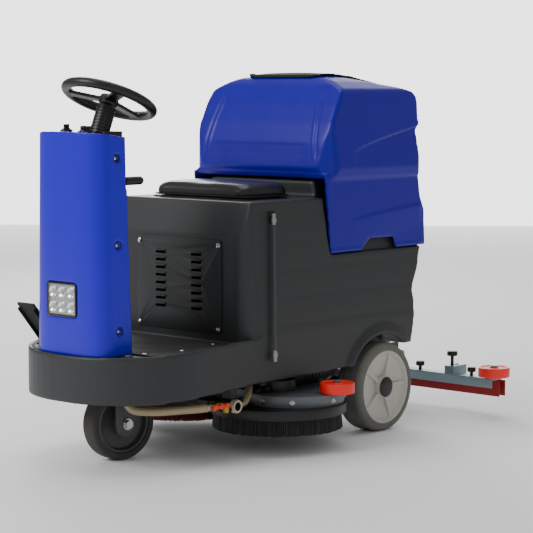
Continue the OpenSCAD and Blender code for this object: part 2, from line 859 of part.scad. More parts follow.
module direction_lever() {
    color("#161617") place() at(lever_x, lever_y, lever_z) {
        along_x() translate([0, 0, -8.6]) cylinder(r = 8, h = 17.2);
        along_x() translate([0, 0, -11.5]) cylinder(r = pin_r, h = 23);
        along_y() cylinder(r = 6, h = 44);
        translate([0, 42, 0]) along_y() cylinder(r = 11, h = 56);
        translate([0, 98, 0]) sphere(11);
    }
}

module key_switch() {
    color("#202022") place() at(key_x, knob_y, dash_top + 4 + gap) {
        translate([0, 0, -20]) cylinder(r = 5, h = 21);
        cylinder(r = 12, h = 3);
        translate([-1.5, -9, 2]) cube([3, 18, 12]);
    }
}

module speed_knob() {
    color("#202022") place() at(speed_x, knob_y, dash_top + 4 + gap) {
        translate([0, 0, -20]) cylinder(r = 5, h = 21);
        cylinder(r = 14, h = 10);
        bar([-1, -13, 9], [1, 0, 11]);
    }
}

module stop_button() {
    color("#c8201e") place() at(0, dash_rear, stop_z) along_y() {
        translate([0, 0, -24]) cylinder(r = 8, h = 34);
        translate([0, 0, 8]) cylinder(r = 18, h = 12);
    }
}

module seat_base() {
    color("#2b2d2e") place() {
        bar([-cushion_w / 2 + 14, cushion_y0 + 2, seat_z + 0.3],
            [cushion_w / 2 - 14, cushion_y0 + cushion_l - 14, seat_z + 3.5]);
        seat_hinge_spots() difference() {
            union() {
                along_x() translate([0, 0, -8]) cylinder(r = 5.5, h = 16);
                bar([-8, -28, -5.5], [8, 0, -2.5]);
            }
            along_x() translate([0, 0, -20]) cylinder(r = 3 + run_fit, h = 40);
        }
    }
}

module seat_cushion() {
    color("#232323") place() translate([0, 0, seat_z + 3.7]) hull() {
        a = [-cushion_w / 2, cushion_y0];
        b = [cushion_w / 2, cushion_y0 + cushion_l];
        linear_extrude(cushion_t - 12) round_rect(a, b, 34);
        linear_extrude(cushion_t) round_rect(a + [12, 12], b - [12, 12], 30);
    }
}

// Outlines of the recovery tank, from its floor up
tank_s = tank_h / 284;
tank_side = [for (p = [
    [-226, 0], [-241, 28], [-232, 101], [-216, 151], [-190, 205], [-158, 258], [-138, 278],
    [-110, 284], [-60, 281], [36, 264], [110, 252], [158, 240], [174, 226], [176, 212],
    [181, 146], [166, 129], [175, 61], [184, 0]
]) [p[0], tank_z0 + p[1] * tank_s]];
tank_half = [for (p = [
    [0, 0], [7, 28], [2, 71], [-4, 135], [-7, 201], [-10, 236], [-16, 246], [-60, 268],
    [-106, 282], [-150, 284]
]) [tank_hw + p[0], tank_z0 + p[1] * tank_s]];
tank_front = concat(tank_half, [for (k = [len(tank_half) - 1 : -1 : 0]) [-tank_half[k][0], tank_half[k][1]]]);

module tank_mass(t) {
    c = tank_z0 + tank_h / 2;
    intersection() {
        side_slab(shrink(tank_side, [-20, c], t), 400);
        front_slab(shrink(tank_front, [0, c], t), -400, 400);
        linear_extrude(1400) {
            round_rect([t - tank_hw - 8, t - 242], [tank_hw + 8 - t, 0], 64 - t);
            round_rect([t - tank_hw - 8, -100], [tank_hw + 8 - t, 186 - t], 30 - t);
        }
    }
}

inlet_z = tank_z0 + 100;
inlet_r = 19;
inlet_y = 174;
drain_z = tank_z0 + 50;
drain_r = 22;
drain_y = 183;
spigot_collar = 4;

// A hose spigot along Y that stands on a collar, so that the hose has a flat seat
module spigot(x, y, z, r, l) {
    at(x, y - 9, z) along_y() cylinder(r = r + spigot_collar, h = 9);
    at(x, y - 4, z) along_y() cylinder(r = r, h = l + 4);
}

module recovery_tank() {
    color("#2b33b4") place() difference() {
        union() {
            tank_mass(0);
            // Side skirts with a hand grip, and the skirt behind
            both() difference() {
                side_slab_from([[-240, tank_z0 + 12], [-215, skirt_z], [219, skirt_z],
                    [214, skirt_z + 105], [195, skirt_z + 142], [181, tank_z0 + 12]],
                    skirt_x - skirt_t, skirt_x);
                side_slab_from([[-84, skirt_z - 5], [-45, skirt_z + 30], [65, skirt_z + 30],
                    [78, skirt_z - 5]], 0, 400);
            }
            side_slab([[219, skirt_z], [214, skirt_z + 105], [195, skirt_z + 142],
                [181, tank_z0 + 12], [175, tank_z0 + 12], [189, skirt_z + 138],
                [208, skirt_z + 103], [213, skirt_z]], skirt_x - 1);
            // Feet on the deck of the body
            both() bar([foot_x, -200, body_top + 0.3], [foot_x + 20, 150, tank_z0 + 3]);
            // Lugs of the tilt hinge
            tilt_spots() {
                along_y() translate([0, 0, -15]) cylinder(r = lug_r, h = 30);
                bar([-lug_r, -15, 0], [lug_r, 15, 44]);
                bar([0, -15, 16], [-tilt_x - skirt_x + 3, 15, 44]);
            }
            spigot(-120, inlet_y, inlet_z, inlet_r, 46);
            spigot(120, drain_y, drain_z, drain_r, 39);
            lid_ears();
        }
        tank_mass(shell_wall);
        bar([-mouth_hw, mouth_front, tank_roof - 60], [mouth_hw, mouth_rear, tank_roof + 20]);
        tilt_spots() along_y() translate([0, 0, -20]) cylinder(r = pin_r + run_fit, h = 40);
        at(-120, 150, inlet_z) along_y() cylinder(r = inlet_r - 3, h = 80);
        at(120, 150, drain_z) along_y() cylinder(r = drain_r - 4, h = 80);
        at(-tank_hw, lid_hinge_y, lid_hinge_z) along_x() cylinder(r = lid_pin_r + run_fit, h = tank_w);
    }
}

// Ears on the rear of the roof, one pair at each knuckle of the lid
module lid_ears() {
    for (x = lid_hinge_xs, dx = [-6, lid_knuckle_l + gap]) {
        at(x + dx, lid_hinge_y, lid_hinge_z) {
            along_x() cylinder(r = lid_knuckle_r, h = 5.6);
            bar([0, -lid_knuckle_r, -34], [5.6, lid_knuckle_r, 0]);
        }
    }
}

lid_under = [for (p = [
    [lid_front, 278], [-110, 284], [-60, 281], [36, 264], [110, 252], [158, 240], [lid_rear, 239]
]) [p[0], tank_z0 + p[1] * tank_s]];
function raised(pts, h) = [for (p = pts) p + [0, h]];
function backwards(pts) = [for (k = [len(pts) - 1 : -1 : 0]) pts[k]];

module tank_lid() {
    color("#1f2022") place() {
        intersection() {
            side_slab(concat(raised(lid_under, 0.8), backwards(raised(lid_under, lid_t))), lid_hw);
            linear_extrude(1400) round_rect([-lid_hw, lid_front], [lid_hw, lid_rear], 50);
        }
        // Rim that locates the lid in the mouth
        intersection() {
            translate([0, 0, tank_roof - 44]) linear_extrude(50) difference() {
                round_rect([3 - mouth_hw, mouth_front + 3], [mouth_hw - 3, mouth_rear - 3], 20);
                round_rect([8 - mouth_hw, mouth_front + 8], [mouth_hw - 8, mouth_rear - 8], 15);
            }
            side_slab(concat(raised(lid_under, 2),
                [[lid_rear, tank_roof - 60], [lid_front, tank_roof - 60]]), lid_hw);
        }
        for (x = lid_hinge_xs) at(x, lid_hinge_y, lid_hinge_z) {
            at(-6, 0, 0) along_x() cylinder(r = lid_pin_r, h = lid_knuckle_l + 12);
            at(gap, 0, 0) along_x() cylinder(r = lid_knuckle_r, h = lid_knuckle_l - gap);
            bar([gap, -20, 3], [lid_knuckle_l, 0, lid_knuckle_r]);
        }
    }
}

module steering_wheel() {
    color("#161617") place() on_steer_axis(0) difference() {
        union() {
            rotate_extrude() translate([steer_ring_r, 0]) circle(steer_tube_r);
            translate([0, 0, -18]) cylinder(r = 24, h = 26);
            for (a = [90, 210, 330]) rotate([0, 0, a])
                bar([16, -16, -9], [steer_ring_r - 4, 16, 0]);
        }
        translate([0, 0, -19]) cylinder(r = shaft_r + 0.1, h = 20);
    }
}

// Upper shaft with the ball of the joint at its foot
module steering_shaft() {
    color("#8d9196") place() on_steer_axis(0) {
        reach = (steer_z - joint_z) / cos(steer_tilt);
        translate([0, 0, -reach]) sphere(ball_r);
        translate([0, 0, -reach]) cylinder(r = 6, h = 30);
        translate([0, 0, 26 - reach]) cylinder(r = shaft_r, h = reach - 26);
    }
}

module lower_shaft() {
    color("#8d9196") place() at(0, joint_y, 0) difference() {
        union() {
            translate([0, 0, rail_z + 30]) cylinder(r = shaft_r, h = joint_z - rail_z - 46);
            translate([0, 0, joint_z - 22]) cylinder(r = 17, h = 30);
            translate([0, 0, chain_z]) cylinder(r = sprocket_small, h = chain_h);
            translate([0, 0, rail_top + 12.4]) cylinder(r = 15, h = chain_z - rail_top - 12.4);
        }
        translate([0, 0, joint_z - 13]) cylinder(r = ball_r + run_fit, h = 40);
    }
}

module steered() {
    translate([0, -wheelbase, 0]) rotate([0, 0, -steer_now]) children();
}

// Fork: crown, two legs, kingpin and its sprocket
module front_fork() {
    color("#2f3133") place() steered() difference() {
        union() {
            at(-fork_leg_in - fork_leg_t, -fork_leg_w / 2, crown_z)
                cube([2 * (fork_leg_in + fork_leg_t), fork_leg_w, crown_t]);
            both() at(fork_leg_in, 0, 0) {
                translate([0, 0, front_axle_z]) along_x() cylinder(r = fork_leg_w / 2, h = fork_leg_t);
                bar([0, -fork_leg_w / 2, front_axle_z], [fork_leg_t, fork_leg_w / 2, crown_z + 1]);
            }
            translate([0, 0, crown_z]) cylinder(r = kingpin_r, h = chain_z + chain_h + 10 - crown_z);
            translate([0, 0, chain_z]) cylinder(r = sprocket_large, h = chain_h);
            translate([0, 0, chain_z - 7.6]) cylinder(r = 18, h = 8);
        }
        at(-100, 0, front_axle_z) along_x() cylinder(r = 8.1, h = 200);
    }
}

module front_axle() {
    color("#c9ccce") place() steered() at(0, 0, front_axle_z) {
        reach = fork_leg_in + fork_leg_t;
        along_x() translate([0, 0, -reach - 10]) cylinder(r = 8, h = 2 * reach + 20);
        both() along_x() translate([0, 0, reach + 0.1]) {
            cylinder(r = 15, h = 2);
            translate([0, 0, 2]) cylinder(r = 12, h = 8, $fn = 6);
        }
    }
}

// A tyre section turned about the wheel's axis
module tyre(r, rim, w, shoulder) {
    rotate_extrude() translate([0, -w / 2]) polygon([
        [rim, 2], [rim + 4, 0], [r - shoulder, 0], [r - shoulder * 0.3, shoulder * 0.3],
        [r, shoulder], [r, w - shoulder], [r - shoulder * 0.3, w - shoulder * 0.3],
        [r - shoulder, w], [rim + 4, w], [rim, w - 2]
    ]);
}

module front_tyre() {
    color("#5f5d59") place() steered() at(0, 0, front_axle_z) along_x()
        tyre(front_wheel_d / 2, front_wheel_d / 2 - 18, front_tyre_w, 10);
}

module front_rim() {
    color("#46484a") place() steered() at(0, 0, front_axle_z) along_x() difference() {
        r = front_wheel_d / 2 - 18.2;
        hub = fork_leg_in - gap;
        rotate_extrude() polygon([
            [8 + run_fit, -hub], [18, -hub], [22, -10], [r - 12, -8], [r - 8, -front_tyre_w / 2 + 2],
            [r, -front_tyre_w / 2 + 3], [r, front_tyre_w / 2 - 3], [r - 8, front_tyre_w / 2 - 2],
            [r - 12, 8], [22, 10], [18, hub], [8 + run_fit, hub]
        ]);
    }
}

module rear_at(side) {
    at(side * (rear_out - rear_tyre_w / 2), 0, rear_axle_z) rotate([0, side * 90, 0]) children();
}

rear_rim_r = rear_axle_z - 22;
hub_cap_r = 29;
module rear_tyre(side) {
    color("#6a6864") place() rear_at(side) tyre(rear_axle_z, rear_rim_r, rear_tyre_w, 12);
}

// Dished moulded rim: ribs on its face and a hub cap
module rear_rim(side) {
    color("#8f8c87") place() rear_at(side) {
        r = rear_rim_r - 0.2;
        w = rear_tyre_w / 2;
        rotate_extrude() polygon([
            [axle_d / 2 + run_fit, 4 - w], [32, 4 - w], [36, w - 34], [r - 8, w - 34], [r - 6, 2 - w],
            [r, 2 - w], [r, w - 2], [r - 6, w - 1], [r - 14, w - 12], [34, w - 18], [32, w - 6],
            [axle_d / 2 + run_fit, w - 6]
        ]);
        translate([0, 0, w - 7]) cylinder(r = hub_cap_r, h = 6);
        for (k = [0 : 4]) rotate([0, 0, 72 * k + 20]) translate([hub_cap_r + 1, -5, w - 24])
            cube([r - 38, 10, 16]);
    }
}

module rear_tyre_left() { rear_tyre(1); }
module rear_tyre_right() { rear_tyre(-1); }
module rear_rim_left() { rear_rim(1); }
module rear_rim_right() { rear_rim(-1); }

// Deck: two steel cups joined in the middle, with the rod of the actuator and the roller posts
module brush_deck() {
    color("#7d8488") place() difference() {
        union() {
            both() at(cup_x, cup_y, deck_bottom + 0.1)
                cylinder(r = cup_r, h = deck_top - deck_bottom - 0.1, $fn = 96);
            bar([-cup_x, cup_y - 96, deck_bottom + 0.1], [cup_x, cup_y + 96, deck_top]);
            at(0, deck_y, deck_top - 2) cylinder(r = lift_rod_r, h = rail_top - 2 - deck_top);
            both() at(roller_x, roller_y, deck_top) {
                translate([0, 0, -2]) cylinder(r = roller_post_r, h = roller_h + 6);
                translate([0, 0, roller_h + 3]) cylinder(r = 12, h = 3);
            }
        }
        both() {
            at(cup_x, cup_y, 0) cylinder(r = cup_r - deck_wall, h = deck_top - deck_plate_t, $fn = 96);
            at(brush_x, deck_y, 0) cylinder(r = motor_shaft_r + 8, h = deck_top + 10);
        }
        bar([-cup_x, cup_y - 96 + deck_wall, 0], [cup_x, cup_y + 96 - deck_wall, deck_top - deck_plate_t]);
    }
}

module skirt_plan(t) {
    both() translate([brush_x, deck_y]) circle(deck_r - t, $fn = 96);
    translate([-brush_x, deck_y - 130 + t]) square([2 * brush_x, 260 - 2 * t]);
}

// Moulded skirt under the steel deck, closed on top but for the shafts
module splash_band() {
    color("#141415") place() difference() {
        translate([0, 0, brush_top - 4]) linear_extrude(deck_bottom - brush_top + 4) skirt_plan(0);
        linear_extrude(deck_bottom - 3) skirt_plan(deck_wall);
        both() at(brush_x, deck_y, 0) cylinder(r = motor_shaft_r + 8, h = deck_top);
    }
}

// Each brush motor lies behind its gearbox; the gearbox carries the brush shaft
module brush_motors() {
    color("#4a4d50") place() both() difference() {
        union() {
            at(brush_x, deck_y, deck_top + 0.1) cylinder(r = 50, h = 30);
            at(brush_x - 4, deck_y + 30, deck_top + 42) along_y() cylinder(r = 38, h = 180);
            for (k = [0 : 7]) at(brush_x - 4, deck_y + 84 + 14 * k, deck_top + 42) along_y()
                cylinder(r = 40.5, h = 6);
        }
        at(brush_x, deck_y, deck_top - 1) cylinder(r = motor_shaft_r + run_fit, h = 24);
    }
}

module brush(side) {
    color("#1a1a1b") place() at(side * brush_x, deck_y, 0) {
        translate([0, 0, brush_top]) cylinder(r = brush_d / 2 - 4, h = block_h);
        translate([0, 0, brush_lift]) difference() {
            cylinder(r = brush_d / 2 - 1, h = bristle_l);
            translate([0, 0, -1]) cylinder(r = 55, h = bristle_l);
        }
        translate([0, 0, brush_top + block_h - 1]) cylinder(r = motor_shaft_r, h = deck_top - brush_top);
    }
}

module brush_left() { brush(1); }
module brush_right() { brush(-1); }

module bumper_roller(r, h, bore) {
    rotate_extrude() polygon([
        [bore, 0], [r - 3, 0], [r, 3], [r, h - 3], [r - 3, h], [r - 9, h], [r - 11, h - 4],
        [bore + 8, h - 4], [bore + 6, h], [bore, h]
    ]);
}
module deck_roller(side) {
    color("#e8412f") place() at(side * roller_x, roller_y, deck_top + 1.5)
        bumper_roller(roller_r, roller_h, 8 + run_fit);
}
module deck_roller_left() { deck_roller(1); }
module deck_roller_right() { deck_roller(-1); }

// Swing arm of the squeegee, hung from the frame by a cross pin
module squeegee_arm() {
    color("#2a2c2e") place() {
        both() bar([44, arm_y - 14, arm_z - 12], [52, swing_y + 8, arm_z + 12]);
        at(-rail_x - 12, arm_y, arm_z) along_x() cylinder(r = arm_pin_r, h = 2 * rail_x + 24);
        difference() {
            union() {
                bar([-52, swing_y - 26, arm_z - 12], [52, swing_y - 14, arm_z + 12]);
                at(0, swing_y, arm_z - 20) cylinder(r = 20, h = 40);
            }
            at(0, swing_y, arm_z - 30) cylinder(r = 10 + run_fit, h = 60);
        }
    }
}

// Squeegee channel with its swing pin, suction spigot and end brackets
module squeegee_channel() {
    color("#8a9599") place() difference() {
        union() {
            bar([-channel_hw, sq_y - 20, channel_top - 4], [channel_hw, sq_y + 20, channel_top]);
            for (y = [sq_y - 20, sq_y + 17]) {
                bar([-channel_hw, y, channel_top - 28], [channel_hw, y + 3, channel_top - 2]);
            }
            bar([-60, swing_y - 22, channel_top], [60, sq_y - 30, channel_top + 6]);
            both() bar([24, sq_y - 40, channel_top - 1], [60, sq_y - 14, channel_top + 6]);
            at(0, swing_y, channel_top + 5) cylinder(r = 10, h = arm_z + 26 - channel_top - 5);
            at(0, swing_y, channel_top + 5) cylinder(r = 16, h = arm_z - 20.4 - channel_top - 5);
            at(0, swing_y, arm_z + 20.4) cylinder(r = 15, h = 5);
            at(0, sq_y + 2, channel_top - 2) cylinder(r = 22 + spigot_collar, h = 9);
            at(0, sq_y + 2, channel_top + 3) cylinder(r = 22, h = 47);
            both() {
                at(sq_roller_x, sq_roller_y, channel_top - 3) cylinder(r = 8, h = 42);
                at(sq_roller_x, sq_roller_y, channel_top + 10 + roller_h) cylinder(r = 12, h = 3);
                bar([sq_roller_x - 30, sq_y - 18, channel_top - 2], [sq_roller_x + 10, sq_y + 10, channel_top + 5]);
                // Height adjuster: post, fork and axle of the caster
                bar([caster_x - 17, sq_y - 16, channel_top - 1], [caster_x + 17, sq_y + 16, channel_top + 24]);
                for (x = [caster_x - 17, caster_x + 12]) {
                    bar([x, sq_y + 8, channel_top - 4], [x + 5, caster_y + 12, channel_top + 24]);
                    bar([x, caster_y - 10, caster_axle_z - 10], [x + 5, caster_y + 12, caster_top + 10]);
                }
                at(caster_x - 19, caster_y, caster_axle_z) along_x() cylinder(r = 4, h = 38);
            }
        }
        at(0, sq_y + 2, channel_top - 8) cylinder(r = 18, h = 70);
    }
}

caster_axle_z = blade_lift + 10 + caster_r;
caster_top = caster_axle_z + caster_r + 6;

module squeegee_blades() {
    color("#6a1519") place() for (y = [sq_y - 16.8, sq_y + 12.8]) {
        bar([-sq_hw, y, blade_lift], [sq_hw, y + 4, channel_top - 4.2]);
    }
}

// Star knobs that clamp the blades, and the taller knobs of the height adjusters
module squeegee_knobs() {
    color("#19191a") place() both() {
        for (x = [90, 283]) at(x, sq_y, channel_top + 0.1) star_knob(14, 26);
        at(caster_x, sq_y, channel_top + 24.1) star_knob(17, 44);
    }
}

module star_knob(r, h) {
    cylinder(r = 5, h = h - 12);
    translate([0, 0, h - 14]) cylinder(r = r * 0.8, h = 14);
    for (k = [0 : 5]) rotate([0, 0, 60 * k]) translate([r * 0.72, 0, h - 13]) cylinder(r = r * 0.28, h = 12, $fn = 24);
}

module squeegee_roller(side) {
    color("#e8412f") place() at(side * sq_roller_x, sq_roller_y, channel_top + 8)
        bumper_roller(roller_r - 1, roller_h, 8 + run_fit);
}
module squeegee_roller_left() { squeegee_roller(1); }
module squeegee_roller_right() { squeegee_roller(-1); }

module squeegee_caster(side) {
    color("#2a2a2b") place() at(side * caster_x, caster_y, caster_axle_z) along_x() translate([0, 0, -10])
        rotate_extrude() polygon([
            [4 + run_fit, 0], [caster_r - 3, 0], [caster_r, 3], [caster_r, 17], [caster_r - 3, 20],
            [4 + run_fit, 20]
        ]);
}
module squeegee_caster_left() { squeegee_caster(1); }
module squeegee_caster_right() { squeegee_caster(-1); }

chassis_frame();
body_shell();
footboard_mat();
body_screws();
louvre_panel();
column_cover();
column_frame();
dashboard();
steering_sleeve();
steering_bearings();
steering_chain();
headlight_housing();
headlight_lens();
control_box();
battery_pack();
vacuum_motor();
sight_tube();
sight_fittings();
supply_hose();
supply_valve();
valve_handle();
supply_filter();
transaxle();
deck_actuator();
hinge_brackets();
accelerator_pedal();
direction_lever();
key_switch();
speed_knob();
stop_button();
seat_base();
seat_cushion();
recovery_tank();
tank_lid();
steering_wheel();
steering_shaft();
lower_shaft();
front_fork();
front_axle();
front_tyre();
front_rim();
rear_tyre_left();
rear_rim_left();
rear_tyre_right();
rear_rim_right();
brush_deck();
splash_band();
brush_motors();
brush_left();
brush_right();
deck_roller_left();
deck_roller_right();
squeegee_arm();
squeegee_channel();
squeegee_blades();
squeegee_knobs();
squeegee_roller_left();
squeegee_roller_right();
squeegee_caster_left();
squeegee_caster_right();
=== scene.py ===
"""Looks of a ride-on floor scrubber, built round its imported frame. All sizes are in metres."""

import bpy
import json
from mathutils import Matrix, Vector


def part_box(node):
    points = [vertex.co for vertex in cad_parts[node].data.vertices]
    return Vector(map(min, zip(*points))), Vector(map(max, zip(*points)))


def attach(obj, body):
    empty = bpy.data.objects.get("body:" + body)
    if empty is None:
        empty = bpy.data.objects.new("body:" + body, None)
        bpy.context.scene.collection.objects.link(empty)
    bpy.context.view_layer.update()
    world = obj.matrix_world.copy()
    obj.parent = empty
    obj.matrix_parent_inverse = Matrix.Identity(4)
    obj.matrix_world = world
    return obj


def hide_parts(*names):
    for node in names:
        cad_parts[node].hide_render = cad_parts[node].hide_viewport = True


bl_info = {
    "name": "Ride-on floor scrubber",
    "version": (1, 0, 0),
    "blender": (4, 5, 0),
    "location": "View3D > Sidebar > Scrubber",
    "description": "Builds the visible pieces of a ride-on floor scrubber on its CAD frame",
    "category": "Object",
}

import json
import math
import random

import bmesh
import bpy
import numpy as np
from mathutils import Matrix, Vector

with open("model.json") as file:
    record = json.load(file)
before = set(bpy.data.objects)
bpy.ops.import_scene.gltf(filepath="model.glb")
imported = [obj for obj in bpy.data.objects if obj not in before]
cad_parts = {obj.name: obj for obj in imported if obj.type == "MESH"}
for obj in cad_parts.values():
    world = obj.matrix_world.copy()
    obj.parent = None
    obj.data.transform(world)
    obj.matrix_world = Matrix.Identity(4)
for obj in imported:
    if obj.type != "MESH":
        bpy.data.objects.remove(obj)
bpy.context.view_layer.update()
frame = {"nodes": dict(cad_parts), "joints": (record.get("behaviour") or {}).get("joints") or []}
MM = 0.001


def centre(node):
    """Middle of a CAD node's box."""
    low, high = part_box(node)
    return (low + high) / 2


def linear(code):
    """Linear RGBA of an sRGB hex colour."""
    channels = [int(code[k:k + 2], 16) / 255 for k in (1, 3, 5)]
    return [c / 12.92 if c <= 0.04045 else ((c + 0.055) / 1.055) ** 2.4 for c in channels] + [1.0]


def shade(colour, factor):
    """The same colour, lighter or darker."""
    return [min(1.0, c * factor) for c in colour[:3]] + [1.0]


REAR_AXLE = centre("rear_tyre_left")
REAR_Y = REAR_AXLE.y


# ---------------------------------------------------------------- sizes and colours

def colour(label, what, code):
    """A colour property with an sRGB default."""
    return bpy.props.FloatVectorProperty(
        name=label, description=what, subtype="COLOR", size=4, min=0, max=1, default=linear(code))


def length(label, what, default):
    """A length property in metres."""
    return bpy.props.FloatProperty(
        name=label, description=what, unit="LENGTH", default=default, min=0, precision=4)


class ScrubberColours(bpy.types.PropertyGroup):
    column: colour("Column", "Gloss cover of the steering column", "#2402c2")
    tank: colour("Tank", "Recovery tank", "#1a0298")
    body: colour("Body", "Body moulding", "#26282a")
    black: colour("Black parts", "Lid, dashboard, knobs and grips", "#0c0c0d")
    mat: colour("Mat", "Footboard mat", "#111111")
    seat: colour("Seat", "Seat cover", "#141514")
    tyre_front: colour("Front tyre", "Tread of the front wheel", "#3e3b38")
    tyre_rear: colour("Rear tyres", "Tread of the rear wheels", "#666762")
    rim: colour("Rear rims", "Moulded rims of the rear wheels", "#bcb8b0")
    red: colour("Red parts", "Bumper rollers and handles", "#ff2a18")
    deck: colour("Deck", "Steel brush deck", "#6a6e72")
    channel: colour("Squeegee", "Coated squeegee channel", "#869aa2")
    blade: colour("Blades", "Squeegee blades", "#8e1010")
    hose: colour("Hose", "Water hose", "#a29270")
    bristles: colour("Bristles", "Left brush", "#0e0e0e")
    bristles_far: colour("Bristles, right", "Right brush", "#6a0606")


class ScrubberSizes(bpy.types.PropertyGroup):
    shell_ease: length("Shell rounding", "Grid of the moulded shells, which sets how round edges are", 0.0045)
    seam: length("Seam", "Width of the seat's piping", 0.004)
    bristle: length("Bristle tuft", "Thickness of one tuft of bristles", 0.0028)


# ---------------------------------------------------------------- making meshes

class Shape:
    """Collects the points and faces of one piece before it becomes a mesh."""

    def __init__(self):
        self.points = []
        self.faces = []
        self.finishes = []

    def add(self, points, faces, place=Matrix(), finish=0):
        start = len(self.points)
        self.points += [place @ Vector(p) for p in points]
        self.faces += [[start + k for k in f] for f in faces]
        self.finishes += [finish] * len(faces)

    def turned(self, profile, place=Matrix(), sides=48, finish=0, ring=False):
        """Turns (radius, height) points about Z. A ring's profile closes on itself."""
        count = len(profile)
        points = [
            (r * math.cos(2 * math.pi * k / sides), r * math.sin(2 * math.pi * k / sides), h)
            for r, h in profile for k in range(sides)]
        faces = []
        for i in range(count if ring else count - 1):
            for k in range(sides):
                j, n = (i + 1) % count, (k + 1) % sides
                faces.append([i * sides + k, i * sides + n, j * sides + n, j * sides + k])
        if not ring:
            faces.append([k for k in range(sides)][::-1])
            faces.append([(count - 1) * sides + k for k in range(sides)])
        self.add(points, faces, place, finish)

    def block(self, low, high, place=Matrix(), finish=0):
        points = [(x, y, z) for x in (low[0], high[0]) for y in (low[1], high[1]) for z in (low[2], high[2])]
        faces = [[0, 1, 3, 2], [4, 6, 7, 5], [0, 4, 5, 1], [2, 3, 7, 6], [0, 2, 6, 4], [1, 5, 7, 3]]
        self.add(points, faces, place, finish)

    def tube(self, path, radius, sides=16, finish=0, ring=False):
        """A round tube along a list of points."""
        path = [Vector(p) for p in path]
        count = len(path)
        radii = radius if isinstance(radius, (list, tuple)) else [radius] * count
        side = None
        points = []
        for i, p in enumerate(path):
            before = path[i - 1] if i or ring else p
            after = path[(i + 1) % count] if i < count - 1 or ring else p
            along = (after - before).normalized()
            if side is None:
                side = along.orthogonal().normalized()
            side = (side - along * side.dot(along)).normalized()
            up = along.cross(side)
            for k in range(sides):
                a = 2 * math.pi * k / sides
                points.append(p + radii[i] * (math.cos(a) * side + math.sin(a) * up))
        faces = []
        for i in range(count if ring else count - 1):
            for k in range(sides):
                j, n = (i + 1) % count, (k + 1) % sides
                faces.append([i * sides + k, i * sides + n, j * sides + n, j * sides + k])
        if not ring:
            faces.append([k for k in range(sides)][::-1])
            faces.append([(count - 1) * sides + k for k in range(sides)])
        self.add(points, faces, finish=finish)

    def piece(self, name, materials, body, slot, replaces=(), bevel=0.0, sharp=40):
        """Makes the mesh, eases its edges and hangs it on its body."""
        mesh = bpy.data.meshes.new(name)
        mesh.from_pydata([tuple(p) for p in self.points], [], self.faces)
        work = bmesh.new()
        work.from_mesh(mesh)
        bmesh.ops.recalc_face_normals(work, faces=work.faces)
        work.to_mesh(mesh)
        work.free()
        for m in materials:
            mesh.materials.append(m)
        mesh.polygons.foreach_set("material_index", self.finishes)
        obj = bpy.data.objects.new(name, mesh)
        bpy.context.scene.collection.objects.link(obj)
        if bevel:
            eased = obj.modifiers.new("eased", "BEVEL")
            eased.width = bevel
            eased.segments = 2
            eased.limit_method = "ANGLE"
            eased.angle_limit = math.radians(35)
            applied(obj)
        return hung(obj, body, replaces, sharp)


def applied(obj):
    """Turns the object's modifiers into its mesh."""
    bpy.context.view_layer.update()
    graph = bpy.context.evaluated_depsgraph_get()
    mesh = bpy.data.meshes.new_from_object(obj.evaluated_get(graph), depsgraph=graph)
    obj.modifiers.clear()
    obj.data = mesh


def hung(obj, body, replaces=(), sharp=40):
    """Smooths a piece's shading and makes it ride on its body."""
    smoothed(obj.data, sharp)
    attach(obj, body)
    if replaces:
        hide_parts(*replaces)
    return obj


def smoothed(mesh, sharp):
    mesh.shade_smooth()
    mesh.set_sharp_from_angle(angle=math.radians(sharp))


def copied(node, name):
    """A new object with a CAD node's mesh, its doubled points merged."""
    mesh = frame["nodes"][node].data.copy()
    mesh.materials.clear()
    work = bmesh.new()
    work.from_mesh(mesh)
    bmesh.ops.remove_doubles(work, verts=work.verts, dist=0.00002)
    work.to_mesh(mesh)
    work.free()
    for layer in list(mesh.uv_layers):
        mesh.uv_layers.remove(layer)
    obj = bpy.data.objects.new(name, mesh)
    bpy.context.scene.collection.objects.link(obj)
    return obj


def moulded(node, name, grid, passes, shape=None, soft=None):
    """A CAD shell with the soft edges of a moulding. soft(position) weighs a second, wider easing."""
    obj = copied(node, name)
    skin = obj.modifiers.new("skin", "REMESH")
    skin.mode = "VOXEL"
    skin.voxel_size = grid
    ease = obj.modifiers.new("ease", "SMOOTH")
    ease.factor = 0.5
    ease.iterations = passes
    applied(obj)
    if soft:
        where, wide_passes = soft
        group = obj.vertex_groups.new(name="soft")
        for v in obj.data.vertices:
            weight = where(v.co)
            if weight > 0:
                group.add([v.index], weight, "REPLACE")
        wide = obj.modifiers.new("wide", "SMOOTH")
        wide.factor = 0.5
        wide.iterations = wide_passes
        wide.vertex_group = "soft"
        applied(obj)
        obj.vertex_groups.clear()
    if shape:
        pressed(obj, shape)
    return obj


def pressed(obj, depth):
    """Moves each point along its normal by depth(position, normal), for ribs, creases and grooves."""
    mesh = obj.data
    count = len(mesh.vertices)
    co = np.empty(count * 3)
    mesh.vertices.foreach_get("co", co)
    normals = np.empty(count * 3, np.float32)
    mesh.vertex_normals.foreach_get("vector", normals)
    co = co.reshape(-1, 3)
    normals = normals.reshape(-1, 3).astype(float)
    co += normals * depth(co, normals)[:, None]
    mesh.vertices.foreach_set("co", co.ravel())
    mesh.update()


def eased(node, name, width):
    """A CAD piece with its sharp edges bevelled."""
    obj = copied(node, name)
    work = bmesh.new()
    work.from_mesh(obj.data)
    bmesh.ops.dissolve_limit(work, angle_limit=math.radians(0.6), verts=work.verts, edges=work.edges)
    work.to_mesh(obj.data)
    work.free()
    bevel = obj.modifiers.new("eased", "BEVEL")
    bevel.width = width
    bevel.segments = 2
    bevel.limit_method = "ANGLE"
    bevel.angle_limit = math.radians(30)
    applied(obj)
    return obj


def ridge(distance, width):
    """1 on a line and 0 at width from it, with a round top."""
    return np.clip(1 - (distance / width) ** 2, 0, 1) ** 2


